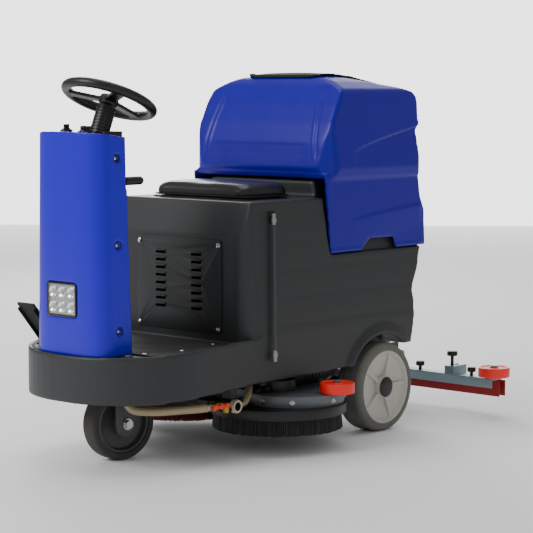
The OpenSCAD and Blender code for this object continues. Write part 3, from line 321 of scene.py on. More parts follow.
def to_line(a, b, points):
    """Distance of each point from the segment a-b, in two dimensions."""
    a, b = np.array(a, float), np.array(b, float)
    along = b - a
    t = np.clip(((points - a) @ along) / (along @ along), 0, 1)
    return np.linalg.norm(points - a - t[:, None] * along, axis=1)


# ---------------------------------------------------------------- materials

def node(tree, kind, inputs=None, **settings):
    """Adds a node with its settings, and links or sets its inputs."""
    made = tree.nodes.new(kind)
    for key, value in settings.items():
        setattr(made, key, value)
    for key, value in (inputs or {}).items():
        if isinstance(value, bpy.types.NodeSocket):
            tree.links.new(value, made.inputs[key])
        else:
            made.inputs[key].default_value = value
    return made


def new_material(name):
    material = bpy.data.materials.new(name)
    material.use_nodes = True
    tree = material.node_tree
    tree.nodes.clear()
    return material, tree


def finish(name, base, roughness, metallic=0.0, mottle=0.12, mottle_mm=70, grain_mm=1.4,
           grain_deep_mm=0.05, rough_spread=0.06, coat=0.0, dust=0.0, scuff=0.0, gleam=0.5):
    """Base colour with slow mottling, a fine grain that catches light, dust on what faces up,
    and short scuffs where people touch it."""
    material, tree = new_material(name)
    place = node(tree, "ShaderNodeTexCoord").outputs["Object"]
    slow = node(tree, "ShaderNodeTexNoise", {"Vector": place, "Scale": 1 / (mottle_mm * MM), "Detail": 5.0,
                                             "Roughness": 0.6})
    fine = node(tree, "ShaderNodeTexNoise", {"Vector": place, "Scale": 1 / (grain_mm * MM), "Detail": 3.0})
    tint = node(tree, "ShaderNodeMix", {"Factor": slow.outputs["Fac"], "A": shade(base, 1 - mottle),
                                        "B": shade(base, 1 + mottle)}, data_type="RGBA")
    colour_out = tint.outputs["Result"]
    if scuff:
        stretched = node(tree, "ShaderNodeMapping", {"Vector": place, "Scale": (18.0, 18.0, 160.0)})
        marks = node(tree, "ShaderNodeTexNoise", {"Vector": stretched.outputs["Vector"], "Scale": 1.0,
                                                  "Detail": 6.0, "Roughness": 0.7})
        some = node(tree, "ShaderNodeMapRange", {"Value": marks.outputs["Fac"], "From Min": 0.62,
                                                 "From Max": 0.74, "To Min": 0.0, "To Max": scuff})
        worn = node(tree, "ShaderNodeMix", {"Factor": some.outputs["Result"], "A": colour_out,
                                            "B": shade([c + 0.05 for c in base[:3]], 1.9)}, data_type="RGBA")
        colour_out = worn.outputs["Result"]
    if dust:
        faces = node(tree, "ShaderNodeNewGeometry")
        upward = node(tree, "ShaderNodeSeparateXYZ", {"Vector": faces.outputs["Normal"]})
        lying = node(tree, "ShaderNodeMapRange", {"Value": upward.outputs["Z"], "From Min": 0.3,
                                                  "From Max": 1.0, "To Min": 0.0, "To Max": dust})
        patchy = node(tree, "ShaderNodeMath", {0: lying.outputs["Result"], 1: slow.outputs["Fac"]},
                      operation="MULTIPLY")
        dusty = node(tree, "ShaderNodeMix", {"Factor": patchy.outputs["Value"], "A": colour_out,
                                             "B": linear("#8f8b84")}, data_type="RGBA")
        colour_out = dusty.outputs["Result"]
    polish = node(tree, "ShaderNodeMapRange", {"Value": slow.outputs["Fac"], "To Min": max(0.02, roughness - rough_spread),
                                               "To Max": min(1.0, roughness + rough_spread)})
    bump = node(tree, "ShaderNodeBump", {"Height": fine.outputs["Fac"], "Strength": 0.5,
                                         "Distance": grain_deep_mm * MM})
    shader = node(tree, "ShaderNodeBsdfPrincipled", {
        "Base Color": colour_out, "Roughness": polish.outputs["Result"], "Metallic": metallic,
        "Normal": bump.outputs["Normal"], "Coat Weight": coat, "Coat Roughness": 0.08, "Specular IOR Level": gleam})
    node(tree, "ShaderNodeOutputMaterial", {"Surface": shader.outputs["BSDF"]})
    return material


def clear(name, tint, roughness, cover):
    """Clear plastic: a glossy skin that hides what is behind it by cover, with a haze of fine scratches."""
    material, tree = new_material(name)
    place = node(tree, "ShaderNodeTexCoord").outputs["Object"]
    haze = node(tree, "ShaderNodeTexNoise", {"Vector": place, "Scale": 400.0, "Detail": 4.0})
    polish = node(tree, "ShaderNodeMapRange", {"Value": haze.outputs["Fac"], "To Min": roughness,
                                               "To Max": roughness + 0.1})
    shader = node(tree, "ShaderNodeBsdfPrincipled", {
        "Base Color": tint, "Roughness": polish.outputs["Result"], "IOR": 1.49, "Alpha": cover})
    node(tree, "ShaderNodeOutputMaterial", {"Surface": shader.outputs["BSDF"]})
    return material


MADE = {}


def materials(colours):
    """Every material of the machine, made once."""
    if MADE:
        return MADE
    c = colours
    MADE.update({
        # Gloss enamel on steel: deep colour under a clear reflecting skin
        "enamel": finish("blue_gloss_enamel", c.column, 0.34, mottle=0.05, grain_mm=2.5, grain_deep_mm=0.03,
                         coat=0.12, rough_spread=0.04, gleam=0.3),
        # Rotationally moulded polyethylene: soft sheen, slightly uneven skin
        "tank": finish("blue_moulded_polyethylene", c.tank, 0.36, mottle=0.08, grain_mm=2.2,
                       grain_deep_mm=0.10, rough_spread=0.06, gleam=0.3),
        "body": finish("grey_moulded_polyethylene", c.body, 0.46, mottle=0.10, grain_mm=1.6,
                       grain_deep_mm=0.12, dust=0.03, scuff=0.08),
        # Injection moulded ABS: even, satin, fine spark-eroded texture
        "abs": finish("black_abs", c.black, 0.42, grain_mm=0.9, grain_deep_mm=0.05),
        "lid": finish("matt_black_polyethylene", shade(c.black, 0.8), 0.72, grain_mm=1.6, grain_deep_mm=0.12),
        "gloss": finish("black_gloss_abs", c.black, 0.18, grain_mm=3.0, grain_deep_mm=0.01, coat=0.4),
        # Sheet rubber: matt, with dust trodden in
        "mat": finish("black_sheet_rubber", c.mat, 0.78, mottle=0.2, grain_mm=1.1, grain_deep_mm=0.15, dust=0.10),
        "vinyl": vinyl("grey_grained_vinyl", c.seat),
        "front_tyre": finish("worn_grey_rubber", c.tyre_front, 0.8, mottle=0.25, mottle_mm=25, grain_mm=1.0,
                             grain_deep_mm=0.15, dust=0.2),
        "rear_tyre": finish("grey_non_marking_rubber", c.tyre_rear, 0.75, mottle=0.14, mottle_mm=30,
                            grain_mm=1.0, grain_deep_mm=0.12),
        "rim": finish("grey_moulded_nylon", c.rim, 0.45, mottle=0.08, grain_mm=1.2, grain_deep_mm=0.05),
        "front_rim": finish("dark_grey_painted_steel", linear("#414243"), 0.38, grain_mm=1.4, grain_deep_mm=0.05),
        "red": finish("red_polyurethane", c.red, 0.38, mottle=0.06, grain_mm=1.3, grain_deep_mm=0.04),
        # Powder coat: fine orange peel
        "deck": finish("grey_powder_coat", c.deck, 0.42, metallic=0.25, grain_mm=1.4, grain_deep_mm=0.06,
                       scuff=0.2),
        "frame": finish("black_powder_coat", linear("#2a2b2d"), 0.45, grain_mm=1.4, grain_deep_mm=0.06, dust=0.1),
        "channel": finish("grey_coated_aluminium", c.channel, 0.40, metallic=0.45, grain_mm=1.2,
                          grain_deep_mm=0.05, scuff=0.2),
        "blade": finish("red_gum_rubber", c.blade, 0.6, mottle=0.15, grain_mm=1.5, grain_deep_mm=0.05),
        "hose": finish("braided_hose", c.hose, 0.33, mottle=0.14, mottle_mm=12, grain_mm=2.0,
                       grain_deep_mm=0.15, coat=0.3),
        "bristle": finish("black_nylon_bristle", c.bristles, 0.5, mottle=0.35, mottle_mm=6, grain_mm=0.8,
                          grain_deep_mm=0.1),
        "bristle_far": finish("red_nylon_bristle", c.bristles_far, 0.5, mottle=0.35, mottle_mm=6,
                              grain_mm=0.8, grain_deep_mm=0.1),
        # Zinc plated steel: bright, slightly yellow, worn dull in patches
        "zinc": finish("zinc_plated_steel", linear("#b9bab8"), 0.3, metallic=1.0, mottle=0.15, mottle_mm=15,
                       grain_mm=1.0, grain_deep_mm=0.03, rough_spread=0.12),
        "steel": finish("turned_steel", linear("#a5a7a9"), 0.25, metallic=1.0, mottle=0.1, mottle_mm=20,
                        grain_mm=0.8, grain_deep_mm=0.03),
        "brass": finish("machined_brass", linear("#b08d3c"), 0.3, metallic=1.0, mottle=0.15, mottle_mm=14,
                        grain_mm=0.9, grain_deep_mm=0.03),
        "nickel": finish("nickel_plated_brass", linear("#9d9d9a"), 0.32, metallic=0.8, mottle_mm=8,
                         grain_mm=0.8, grain_deep_mm=0.03),
        "cream": finish("cream_nylon", linear("#cfc4a4"), 0.45, mottle=0.06),
        "lens": clear("clear_lamp_lens", linear("#f2f4f6"), 0.03, 0.12),
        "tube": clear("smoky_sight_tube", linear("#4c5254"), 0.12, 0.7),
        "chrome": finish("bright_reflector", linear("#eef0f2"), 0.22, metallic=1.0, mottle=0.02),
    })
    return MADE


def vinyl(name, base):
    """Vinyl cover: pebbled grain about 2 mm across with worn, shinier tops."""
    material, tree = new_material(name)
    place = node(tree, "ShaderNodeTexCoord").outputs["Object"]
    pebble = node(tree, "ShaderNodeTexVoronoi", {"Vector": place, "Scale": 1 / (2.2 * MM)},
                  feature="SMOOTH_F1")
    slow = node(tree, "ShaderNodeTexNoise", {"Vector": place, "Scale": 14.0, "Detail": 4.0})
    tint = node(tree, "ShaderNodeMix", {"Factor": slow.outputs["Fac"], "A": shade(base, 0.85),
                                        "B": shade(base, 1.2)}, data_type="RGBA")
    polish = node(tree, "ShaderNodeMapRange", {"Value": pebble.outputs["Distance"], "To Min": 0.26,
                                               "To Max": 0.46})
    bump = node(tree, "ShaderNodeBump", {"Height": pebble.outputs["Distance"], "Strength": 0.35,
                                         "Distance": 0.25 * MM}, invert=True)
    shader = node(tree, "ShaderNodeBsdfPrincipled", {
        "Base Color": tint.outputs["Result"], "Roughness": polish.outputs["Result"],
        "Normal": bump.outputs["Normal"]})
    node(tree, "ShaderNodeOutputMaterial", {"Surface": shader.outputs["BSDF"]})
    return material


def dressed(material, *nodes):
    """Gives CAD nodes that keep their shape their material."""
    for n in nodes:
        mesh = frame["nodes"][n].data
        mesh.materials.clear()
        mesh.materials.append(material)


class Piece(bpy.types.Operator):
    """Base of the operators that build one group of pieces."""

    bl_options = {"REGISTER", "UNDO"}

    def execute(self, context):
        self.build(context.scene.scrubber_sizes, materials(context.scene.scrubber_colours))
        return {"FINISHED"}


# ---------------------------------------------------------------- moulded shells

TANK_LOW, TANK_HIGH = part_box("recovery_tank")
TANK_FRONT = TANK_LOW.y
# Creases of each side: both ends as (y from the rear axle, z), and how far the moulding below stands out
CREASES = [((-0.130, 0.795), (0.170, 0.866), -0.007), ((-0.130, 0.606), (0.212, 0.645), 0.005)]


def tank_soft(point):
    """Weight of the wide easing: the upper edges, clear of the mouth and the foot."""
    y = point.y - REAR_Y
    if point.z < 0.770 or y > 0.10:
        return 0.0
    return min(1.0, (point.z - 0.770) / 0.03) * min(1.0, (0.10 - y) / 0.05)


def tank_relief(co, normals):
    """A band round the foot, a crease down each front corner with a line beside it, and side creases."""
    y = co[:, 1] - REAR_Y
    x, z = np.abs(co[:, 0]), co[:, 2]
    out = np.zeros(len(co))
    front = np.clip((-normals[:, 1] - 0.35) / 0.25, 0, 1) * (y < -0.12)
    side = np.clip((np.abs(normals[:, 0]) - 0.6) / 0.2, 0, 1) * (co[:, 0] * normals[:, 0] > 0) * (x > 0.2)
    side *= np.clip((y + 0.235) / 0.03, 0, 1) * np.clip((0.205 - y) / 0.02, 0, 1)
    out += 0.0030 * front * np.clip((0.745 - z) / 0.003, 0, 1)
    corner = np.column_stack([x, z])
    high = np.clip((z - 0.775) / 0.03, 0, 1) * np.clip((0.965 - z) / 0.02, 0, 1)
    out -= 0.0022 * ridge(to_line((0.214, 0.77), (0.186, 0.965), corner), 0.006) * front * high
    out += 0.0018 * ridge(to_line((0.204, 0.77), (0.176, 0.965), corner), 0.007) * front * high
    out -= 0.0012 * front * np.clip((0.826 - z) / 0.006, 0, 1) * np.clip((0.185 - x) / 0.03, 0, 1)
    for (y0, z0), (y1, z1), depth in CREASES:
        t = np.clip((y - y0) / (y1 - y0), 0, 1)
        below = z0 + (z1 - z0) * t ** 0.7 - z
        step = np.clip((below + 0.002) / 0.004, 0, 1) * np.clip((0.07 - below) / 0.07, 0, 1)
        out += depth * np.sqrt(t) * step * side
    lip = np.clip((0.534 - z) / 0.003, 0, 1) + np.clip((-0.222 - y) / 0.003, 0, 1) * (z < 0.735)
    out += 0.0022 * np.clip(lip, 0, 1) * side
    return out


def lid_relief(co, normals):
    """The lid's top is crowned: it falls towards its front and its sides."""
    low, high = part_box("tank_lid")
    u = np.abs(co[:, 0]) / high.x
    w = np.clip((low.y + 0.09 - co[:, 1]) / 0.09, 0, 1)
    top = np.clip((co[:, 2] - high.z + 0.012) / 0.008, 0, 1)
    return -0.008 * np.clip(u ** 3 + w ** 2, 0, 1) * top * (normals[:, 2] > 0.2)


def body_relief(co, normals):
    """A rolled lip round the wheel arches."""
    y, z = co[:, 1] - REAR_Y, co[:, 2]
    outer = (np.abs(normals[:, 0]) > 0.7) & (co[:, 0] * normals[:, 0] > 0)
    arch = np.abs(np.hypot(y, z - REAR_AXLE.z) - 0.160)
    return 0.0035 * ridge(arch, 0.012) * outer


class BuildShells(Piece):
    """Builds the body moulding, the steering column's cover, the recovery tank and its lid"""

    bl_idname = "scrubber.shells"
    bl_label = "Shells"

    def build(self, sizes, looks):
        grid = sizes.shell_ease
        for name, cad, body, slot, look, step, passes, relief, soft in (
            ("body_moulding", "body_shell", "chassis", "body_grey", "body", grid, 4, body_relief, None),
            ("column_cover_enamelled", "column_cover", "chassis", "column_blue", "enamel", grid * 0.7, 4,
             None, None),
            ("tank_moulding", "recovery_tank", "tank", "tank_blue", "tank", grid * 0.9, 5, tank_relief,
             (tank_soft, 22)),
            ("lid_moulding", "tank_lid", "lid", "lid_black", "lid", grid * 0.7, 5, lid_relief, None),
        ):
            obj = moulded(cad, name, step, passes, relief, soft)
            obj.data.materials.append(looks[look])
            hung(obj, body, [cad], 60)


# ---------------------------------------------------------------- seat

SEAT_LOW, SEAT_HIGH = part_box("seat_cushion")


def cushion_outline(inset, corner, steps):
    """Rounded outline of the cushion, running round from its front left corner."""
    x, y0, y1 = SEAT_HIGH.x - inset, SEAT_LOW.y + inset, SEAT_HIGH.y - inset
    points = []
    for cx, cy, first in ((x, y1, 0), (-x, y1, 90), (-x, y0, 180), (x, y0, 270)):
        mx, my = cx - math.copysign(corner, cx), cy - corner if cy == y1 else cy + corner
        for k in range(steps + 1):
            a = math.radians(first + 90 * k / steps)
            points.append(Vector((mx + corner * math.cos(a), my + corner * math.sin(a), 0)))
    return points


class BuildSeat(Piece):
    """Inflates the seat cushion as cloth and runs the piping round its seam"""

    bl_idname = "scrubber.seat"
    bl_label = "Seat"

    def build(self, sizes, looks):
        pad = copied("seat_cushion", "seat_pad")
        middle = (SEAT_LOW + SEAT_HIGH) / 2
        for v in pad.data.vertices:
            v.co = middle + Vector(((v.co.x - middle.x) * 0.975, (v.co.y - middle.y) * 0.965,
                                    (v.co.z - middle.z) * 0.88))
        skin = pad.modifiers.new("skin", "REMESH")
        skin.mode = "VOXEL"
        skin.voxel_size = 0.006
        applied(pad)
        before = np.array([v.co for v in pad.data.vertices])
        cloth = pad.modifiers.new("cloth", "CLOTH")
        settings = cloth.settings
        settings.use_pressure = True
        settings.uniform_pressure_force = 4.0
        settings.effector_weights.gravity = 0.0
        settings.tension_stiffness = 25
        settings.compression_stiffness = 25
        cloth.point_cache.frame_start, cloth.point_cache.frame_end = 1, 20
        for f in range(1, 21):
            bpy.context.scene.frame_set(f)
        applied(pad)
        bpy.context.scene.frame_set(1)
        after = np.array([v.co for v in pad.data.vertices])
        moved = after - before
        far = np.linalg.norm(moved, axis=1)[:, None]
        cap = 0.006
        after = before + moved * np.minimum(1, cap / np.maximum(far, 1e-9))
        after[:, 2] = np.clip(after[:, 2], SEAT_LOW.z + 0.0005, SEAT_HIGH.z + 0.006)
        # The front edge rolls down and the middle dips a little where people sit
        u = (after[:, 0] - middle.x) / (SEAT_HIGH.x - SEAT_LOW.x) * 2
        w = (after[:, 1] - middle.y) / (SEAT_HIGH.y - SEAT_LOW.y) * 2
        top = np.clip((after[:, 2] - middle.z) / 0.012, 0, 1)
        after[:, 2] += top * (0.004 - 0.006 * (0.6 * u ** 2 + 0.4 * w ** 2))
        after[:, 2] -= top * 0.0025 * np.exp(-((np.abs(u) - 0.45) / 0.25) ** 2 - (w / 0.6) ** 2)
        pad.data.vertices.foreach_set("co", after.ravel())
        soft = pad.modifiers.new("soft", "SMOOTH")
        soft.factor = 0.5
        soft.iterations = 6
        finer = pad.modifiers.new("finer", "SUBSURF")
        finer.levels = finer.render_levels = 1
        applied(pad)
        pad.data.materials.append(looks["vinyl"])
        hung(pad, "seat", ["seat_cushion"], 180)
        piping = Shape()
        ring = [p + Vector((0, 0, SEAT_LOW.z + 0.005)) for p in cushion_outline(0.004, 0.028, 8)]
        piping.tube(ring, sizes.seam / 2, 8, ring=True)
        piping.piece("seat_piping", [looks["vinyl"]], "seat", "seat_vinyl")


# ---------------------------------------------------------------- wheels and rollers

def on_joint(name):
    """Places a piece turned about Z on a joint's axis."""
    joint = next(j for j in frame["joints"] if j["name"] == name)
    axis = Vector(joint["axis"]).normalized()
    return Matrix.Translation(joint["pos_m"]) @ axis.to_track_quat("Z", "Y").to_matrix().to_4x4()


def rounded(outer, inner, half, corner, steps=5):
    """(radius, height) outline of a ring with round outer corners."""
    points = [(inner, -half)]
    for middle, first in ((-half + corner, -90), (half - corner, 0)):
        for k in range(steps + 1):
            a = math.radians(first + 90 * k / steps)
            points.append((outer - corner + corner * math.cos(a), middle + corner * math.sin(a)))
    return points + [(inner, half)]


def half_width(node, axis):
    low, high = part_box(node)
    return (high[axis] - low[axis]) / 2


class BuildWheels(Piece):
    """Builds the tyres, their rims and the bumper rollers"""

    bl_idname = "scrubber.wheels"
    bl_label = "Wheels and rollers"

    def build(self, sizes, looks):
        tyre = Shape()
        tyre.turned(rounded(0.098, 0.080, 0.027, 0.009), on_joint("front_wheel_spin"), 96, ring=True)
        tyre.piece("front_tyre_rubber", [looks["front_tyre"]], "front_wheel", "front_tyre", ["front_tyre"])
        half = half_width("rear_tyre_left", 0)
        for side in ("left", "right"):
            tyre = Shape()
            place = on_joint(f"rear_wheel_{side}_spin")
            tyre.turned(rounded(0.127, 0.105, half, 0.015), place, 128, ring=True)
            # Fine moulding ribs round both shoulders of the tread
            for h in (half - 0.014, -half + 0.014, 0.010, -0.010):
                ridge_place = place @ Matrix.Translation((0, 0, h))
                tyre.turned([(0.1262, -0.0014), (0.1276, -0.0006), (0.1276, 0.0006), (0.1262, 0.0014)],
                            ridge_place, 128, ring=True)
            tyre.piece(f"rear_tyre_rubber_{side}", [looks["rear_tyre"]], f"rear_wheel_{side}", "rear_tyre",
                       [f"rear_tyre_{side}"])
            rim = eased(f"rear_rim_{side}", f"rear_rim_moulded_{side}", 0.0012)
            rim.data.materials.append(looks["rim"])
            hung(rim, f"rear_wheel_{side}", [f"rear_rim_{side}"])
            cap = Shape()
            out = 1 if side == "left" else -1
            face = place @ Matrix.Translation((0, 0, out * (half - 0.001)))
            cap.turned([(0.029, -0.004 * out), (0.029, 0.001 * out), (0.026, 0.003 * out), (0.010, 0.004 * out)],
                       face, 48)
            cap.piece(f"hub_cap_{side}", [looks["abs"]], f"rear_wheel_{side}", "rear_rim")
        for cad, joint, body, slot, look, corner, hole in (
            ("deck_roller_left", "deck_roller_left_spin", "left_deck_roller", "roller_red", "red", 0.003, 0.0084),
            ("deck_roller_right", "deck_roller_right_spin", "right_deck_roller", "roller_red", "red", 0.003, 0.0084),
            ("squeegee_roller_left", "squeegee_roller_left_spin", "left_squeegee_roller", "roller_red", "red", 0.003, 0.0084),
            ("squeegee_roller_right", "squeegee_roller_right_spin", "right_squeegee_roller", "roller_red", "red", 0.003, 0.0084),
            ("squeegee_caster_left", "caster_left_spin", "left_caster", "caster_black", "abs", 0.003, 0.0045),
            ("squeegee_caster_right", "caster_right_spin", "right_caster", "caster_black", "abs", 0.003, 0.0045),
        ):
            low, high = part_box(cad)
            size = sorted(high - low)
            place = on_joint(joint)
            place.translation = (low + high) / 2
            r, h = size[2] / 2, size[0] / 2
            wheel = Shape()
            outline = rounded(r, hole, h, corner, 3)
            # A shallow dish in both faces
            dish = [(hole, -h), (hole + 0.006, -h), (hole + 0.008, -h + 0.002), (r * 0.8, -h + 0.002),
                    (r * 0.84, -h)]
            wheel.turned(dish + outline[1:-1] + [(q, -z) for q, z in reversed(dish)], place, 72, ring=True)
            wheel.piece(f"{cad}_moulded", [looks[look]], body, slot, [cad])


# ---------------------------------------------------------------- scrub deck

class BuildBrushes(Piece):
    """Plants tufts of bristles in both brush blocks"""

    bl_idname = "scrubber.brushes"
    bl_label = "Brushes"

    def build(self, sizes, looks):
        chance = random.Random(7)
        for side, look, slot in (("left", "bristle", "brush_black"), ("right", "bristle_far", "brush_red")):
            low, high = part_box(f"brush_{side}")
            mid = (low + high) / 2
            floor, top = low.z, low.z + 0.049
            block = Shape()
            place = Matrix.Translation((mid.x, mid.y, 0))
            block.turned([(0.060, top - 0.004), (0.168, top - 0.004), (0.172, top), (0.172, top + 0.014),
                          (0.168, top + 0.016), (0.012, top + 0.016), (0.012, high.z)], place, 72)
            # Packed roots of the inner tufts as a solid black ring: painted shade, since no light gets through them
            block.turned([(0.070, floor + 0.004), (0.1705, floor + 0.004), (0.1725, top)], place, 96)
            block.piece(f"brush_block_{side}", [looks["abs"]], f"{side}_brush", slot, [f"brush_{side}"])
            tufts = Shape()
            for ring, (radius, count) in enumerate(((0.1775, 380), (0.174, 320), (0.165, 90), (0.140, 70),
                                                    (0.110, 50), (0.080, 36))):
                for k in range(count):
                    a = 2 * math.pi * (k + 0.5 * (ring % 2)) / count + chance.uniform(-0.006, 0.006)
                    r = radius + chance.uniform(-0.0012, 0.0012)
                    lean = chance.uniform(-0.004, 0.004)
                    root = Vector((mid.x + (r - 0.004) * math.cos(a), mid.y + (r - 0.004) * math.sin(a), top))
                    tip = Vector((mid.x + r * math.cos(a + lean), mid.y + r * math.sin(a + lean),
                                  floor + chance.uniform(0, 0.0025)))
                    thick = sizes.bristle / 2
                    tufts.tube([root, (root + tip) / 2 + Vector((0, 0, 0.001)), tip],
                               [thick * 0.8, thick, thick * 1.25], 5)
            tufts.piece(f"bristles_{side}", [looks[look]], f"{side}_brush", slot)


def bolt(shape, spot, out, radius=0.0065, head=0.005):
    """A hexagon bolt head on a washer, facing out."""
    place = Matrix.Translation(spot) @ Vector(out).to_track_quat("Z", "Y").to_matrix().to_4x4()
    shape.turned([(radius * 1.5, 0), (radius * 1.5, 0.001), (radius * 1.3, 0.0014)], place, 24)
    shape.turned([(radius, 0.001), (radius, head), (radius * 0.86, head + 0.0008)], place, 6)


class BuildDeck(Piece):
    """Builds the steel brush deck with its skirt, gear motors, bolts and plugs"""

    bl_idname = "scrubber.deck"
    bl_label = "Brush deck"

    def build(self, sizes, looks):
        for cad, name, look, slot, width in (
            ("brush_deck", "deck_pressing", "deck", "deck_steel", 0.002),
            ("splash_band", "deck_skirt", "abs", "skirt_black", 0.0025),
            ("brush_motors", "gear_motors", "frame", "motor_steel", 0.0012),
        ):
            obj = eased(cad, name, width)
            obj.data.materials.append(looks[look])
            hung(obj, "deck", [cad])
        low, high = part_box("brush_deck")
        cup = Vector((0.2175, REAR_Y - 0.332, 0))
        bolts = Shape()
        for side in (-1, 1):
            for turn in (-118, -88, -52, 0, 40, 80, 125):
                a = math.radians(turn if side > 0 else 180 - turn)
                out = Vector((math.cos(a), math.sin(a), 0))
                spot = Vector((side * cup.x, cup.y, low.z + 0.014)) + out * 0.1370
                bolt(bolts, spot, out, 0.0052, 0.004)
        bolts.piece("deck_bolts", [looks["zinc"]], "deck", "deck_steel")
        plugs = Shape()
        for side in (-1, 1):
            x, y = side * 0.190, REAR_Y - 0.430
            plugs.block((x - 0.014, y - 0.004, 0.154), (x + 0.014, y + 0.022, 0.170))
            plugs.tube([(x, y - 0.006, 0.164), (x, y - 0.020, 0.166), (x, y - 0.026, 0.158)], 0.006, 12)
        plugs.piece("motor_plugs", [looks["abs"]], "deck", "motor_steel", bevel=0.002)


# ---------------------------------------------------------------- water line

IN_LINE = [(95, -852, 186), (95, -852, 172), (98, -850, 160), (106, -846, 151), (118, -835, 146),
           (134, -815, 144), (152, -792, 143), (170, -766, 144), (187, -740, 145), (203, -718, 146),
           (214, -703, 147), (220, -690, 148), (220, -678, 148)]
OUT_LINE = [(210, -549, 137), (210, -541, 137), (208, -527, 141), (203, -513, 149), (197, -500, 158),
            (189, -488, 167), (178, -475, 174), (166, -462, 179), (152, -449, 182), (139, -437, 186),
            (128, -427, 190), (120, -420, 197), (120, -420, 206)]


def smooth_line(points, steps=5):
    """A smooth run through points given in millimetres behind the rear axle's line."""
    p = [Vector((x * MM, REAR_Y + y * MM, z * MM)) for x, y, z in points]
    p = [2 * p[0] - p[1]] + p + [2 * p[-1] - p[-2]]
    run = []
    for i in range(1, len(p) - 2):
        for k in range(steps):
            t = k / steps
            run.append(0.5 * (2 * p[i] + (p[i + 1] - p[i - 1]) * t
                              + (2 * p[i - 1] - 5 * p[i] + 4 * p[i + 1] - p[i + 2]) * t ** 2
                              + (3 * p[i] - p[i - 1] - 3 * p[i + 1] + p[i + 2]) * t ** 3))
    return run + [p[-2]]


class BuildWaterLine(Piece):
    """Builds the hoses, their clamps, the brass tap and the filter"""

    bl_idname = "scrubber.water"
    bl_label = "Water line"

    def build(self, sizes, looks):
        hose, bands = Shape(), Shape()
        for line, thick in ((IN_LINE, 0.0115), (OUT_LINE, 0.0105)):
            run = smooth_line(line)
            hose.tube(run, thick, 20)
            for near, k in ((run[0], 4), (run[-1], -5)):
                way = (run[k + 1] - run[k]).normalized()
                place = Matrix.Translation(run[k]) @ way.to_track_quat("Z", "Y").to_matrix().to_4x4()
                bands.turned([(thick - 0.0002, -0.004), (thick + 0.0008, -0.004), (thick + 0.0008, 0.004), (thick - 0.0002, 0.004)], place, 24,
                             ring=True)
                bands.block((thick - 0.001, -0.003, -0.003), (thick + 0.004, 0.003, 0.003), place)
        hose.piece("water_hoses", [looks["hose"]], "chassis", "hose_beige", ["supply_hose"])
        bands.piece("hose_clamps", [looks["zinc"]], "chassis", "screw_steel", bevel=0.0004)
        for cad, name, body, look, slot in (
            ("supply_valve", "brass_tap", "chassis", "brass", "brass"),
            ("supply_filter", "filter_body", "chassis", "abs", "black_plastic"),
            ("valve_handle", "tap_lever", "tap_handle", "red", "red_plastic"),
        ):
            obj = eased(cad, name, 0.0008)
            obj.data.materials.append(looks[look])
            hung(obj, body, [cad])
        ring = Shape()
        spot = Matrix.Translation((0.212, REAR_Y - 0.573, 0.137)) @ Matrix.Rotation(math.pi / 2, 4, "Y")
        ring.turned([(0.0092, 0.001), (0.0183, 0.001), (0.0185, 0.011), (0.0168, 0.0148), (0.0125, 0.0148),
                     (0.0095, 0.012)], spot, 48, ring=True)
        ring.piece("filter_ring", [looks["cream"]], "chassis", "fitting_grey")
        ribs = Shape()
        for k in range(16):
            a = 2 * math.pi * k / 16
            turn = Matrix.Translation((0.166, REAR_Y - 0.573, 0.137)) @ Matrix.Rotation(a, 4, "X")
            ribs.block((0.004, -0.0016, 0.0195), (0.042, 0.0016, 0.0212), turn)
        ribs.piece("filter_ribs", [looks["abs"]], "chassis", "black_plastic", bevel=0.0004)


# ---------------------------------------------------------------- controls, lamp and trim

COLUMN_SCREW_Z = (0.360, 0.580, 0.800)


def screw_well(side, z):
    """Bottom of the well in the column's side that a screw sits in, with Z pointing out."""
    half = 0.120 + 0.011 * (0.870 - z) / 0.574
    return (Matrix.Translation((side * (half - 0.008), REAR_Y - 0.910, z))
            @ Matrix.Rotation(side * math.pi / 2, 4, "Y"))


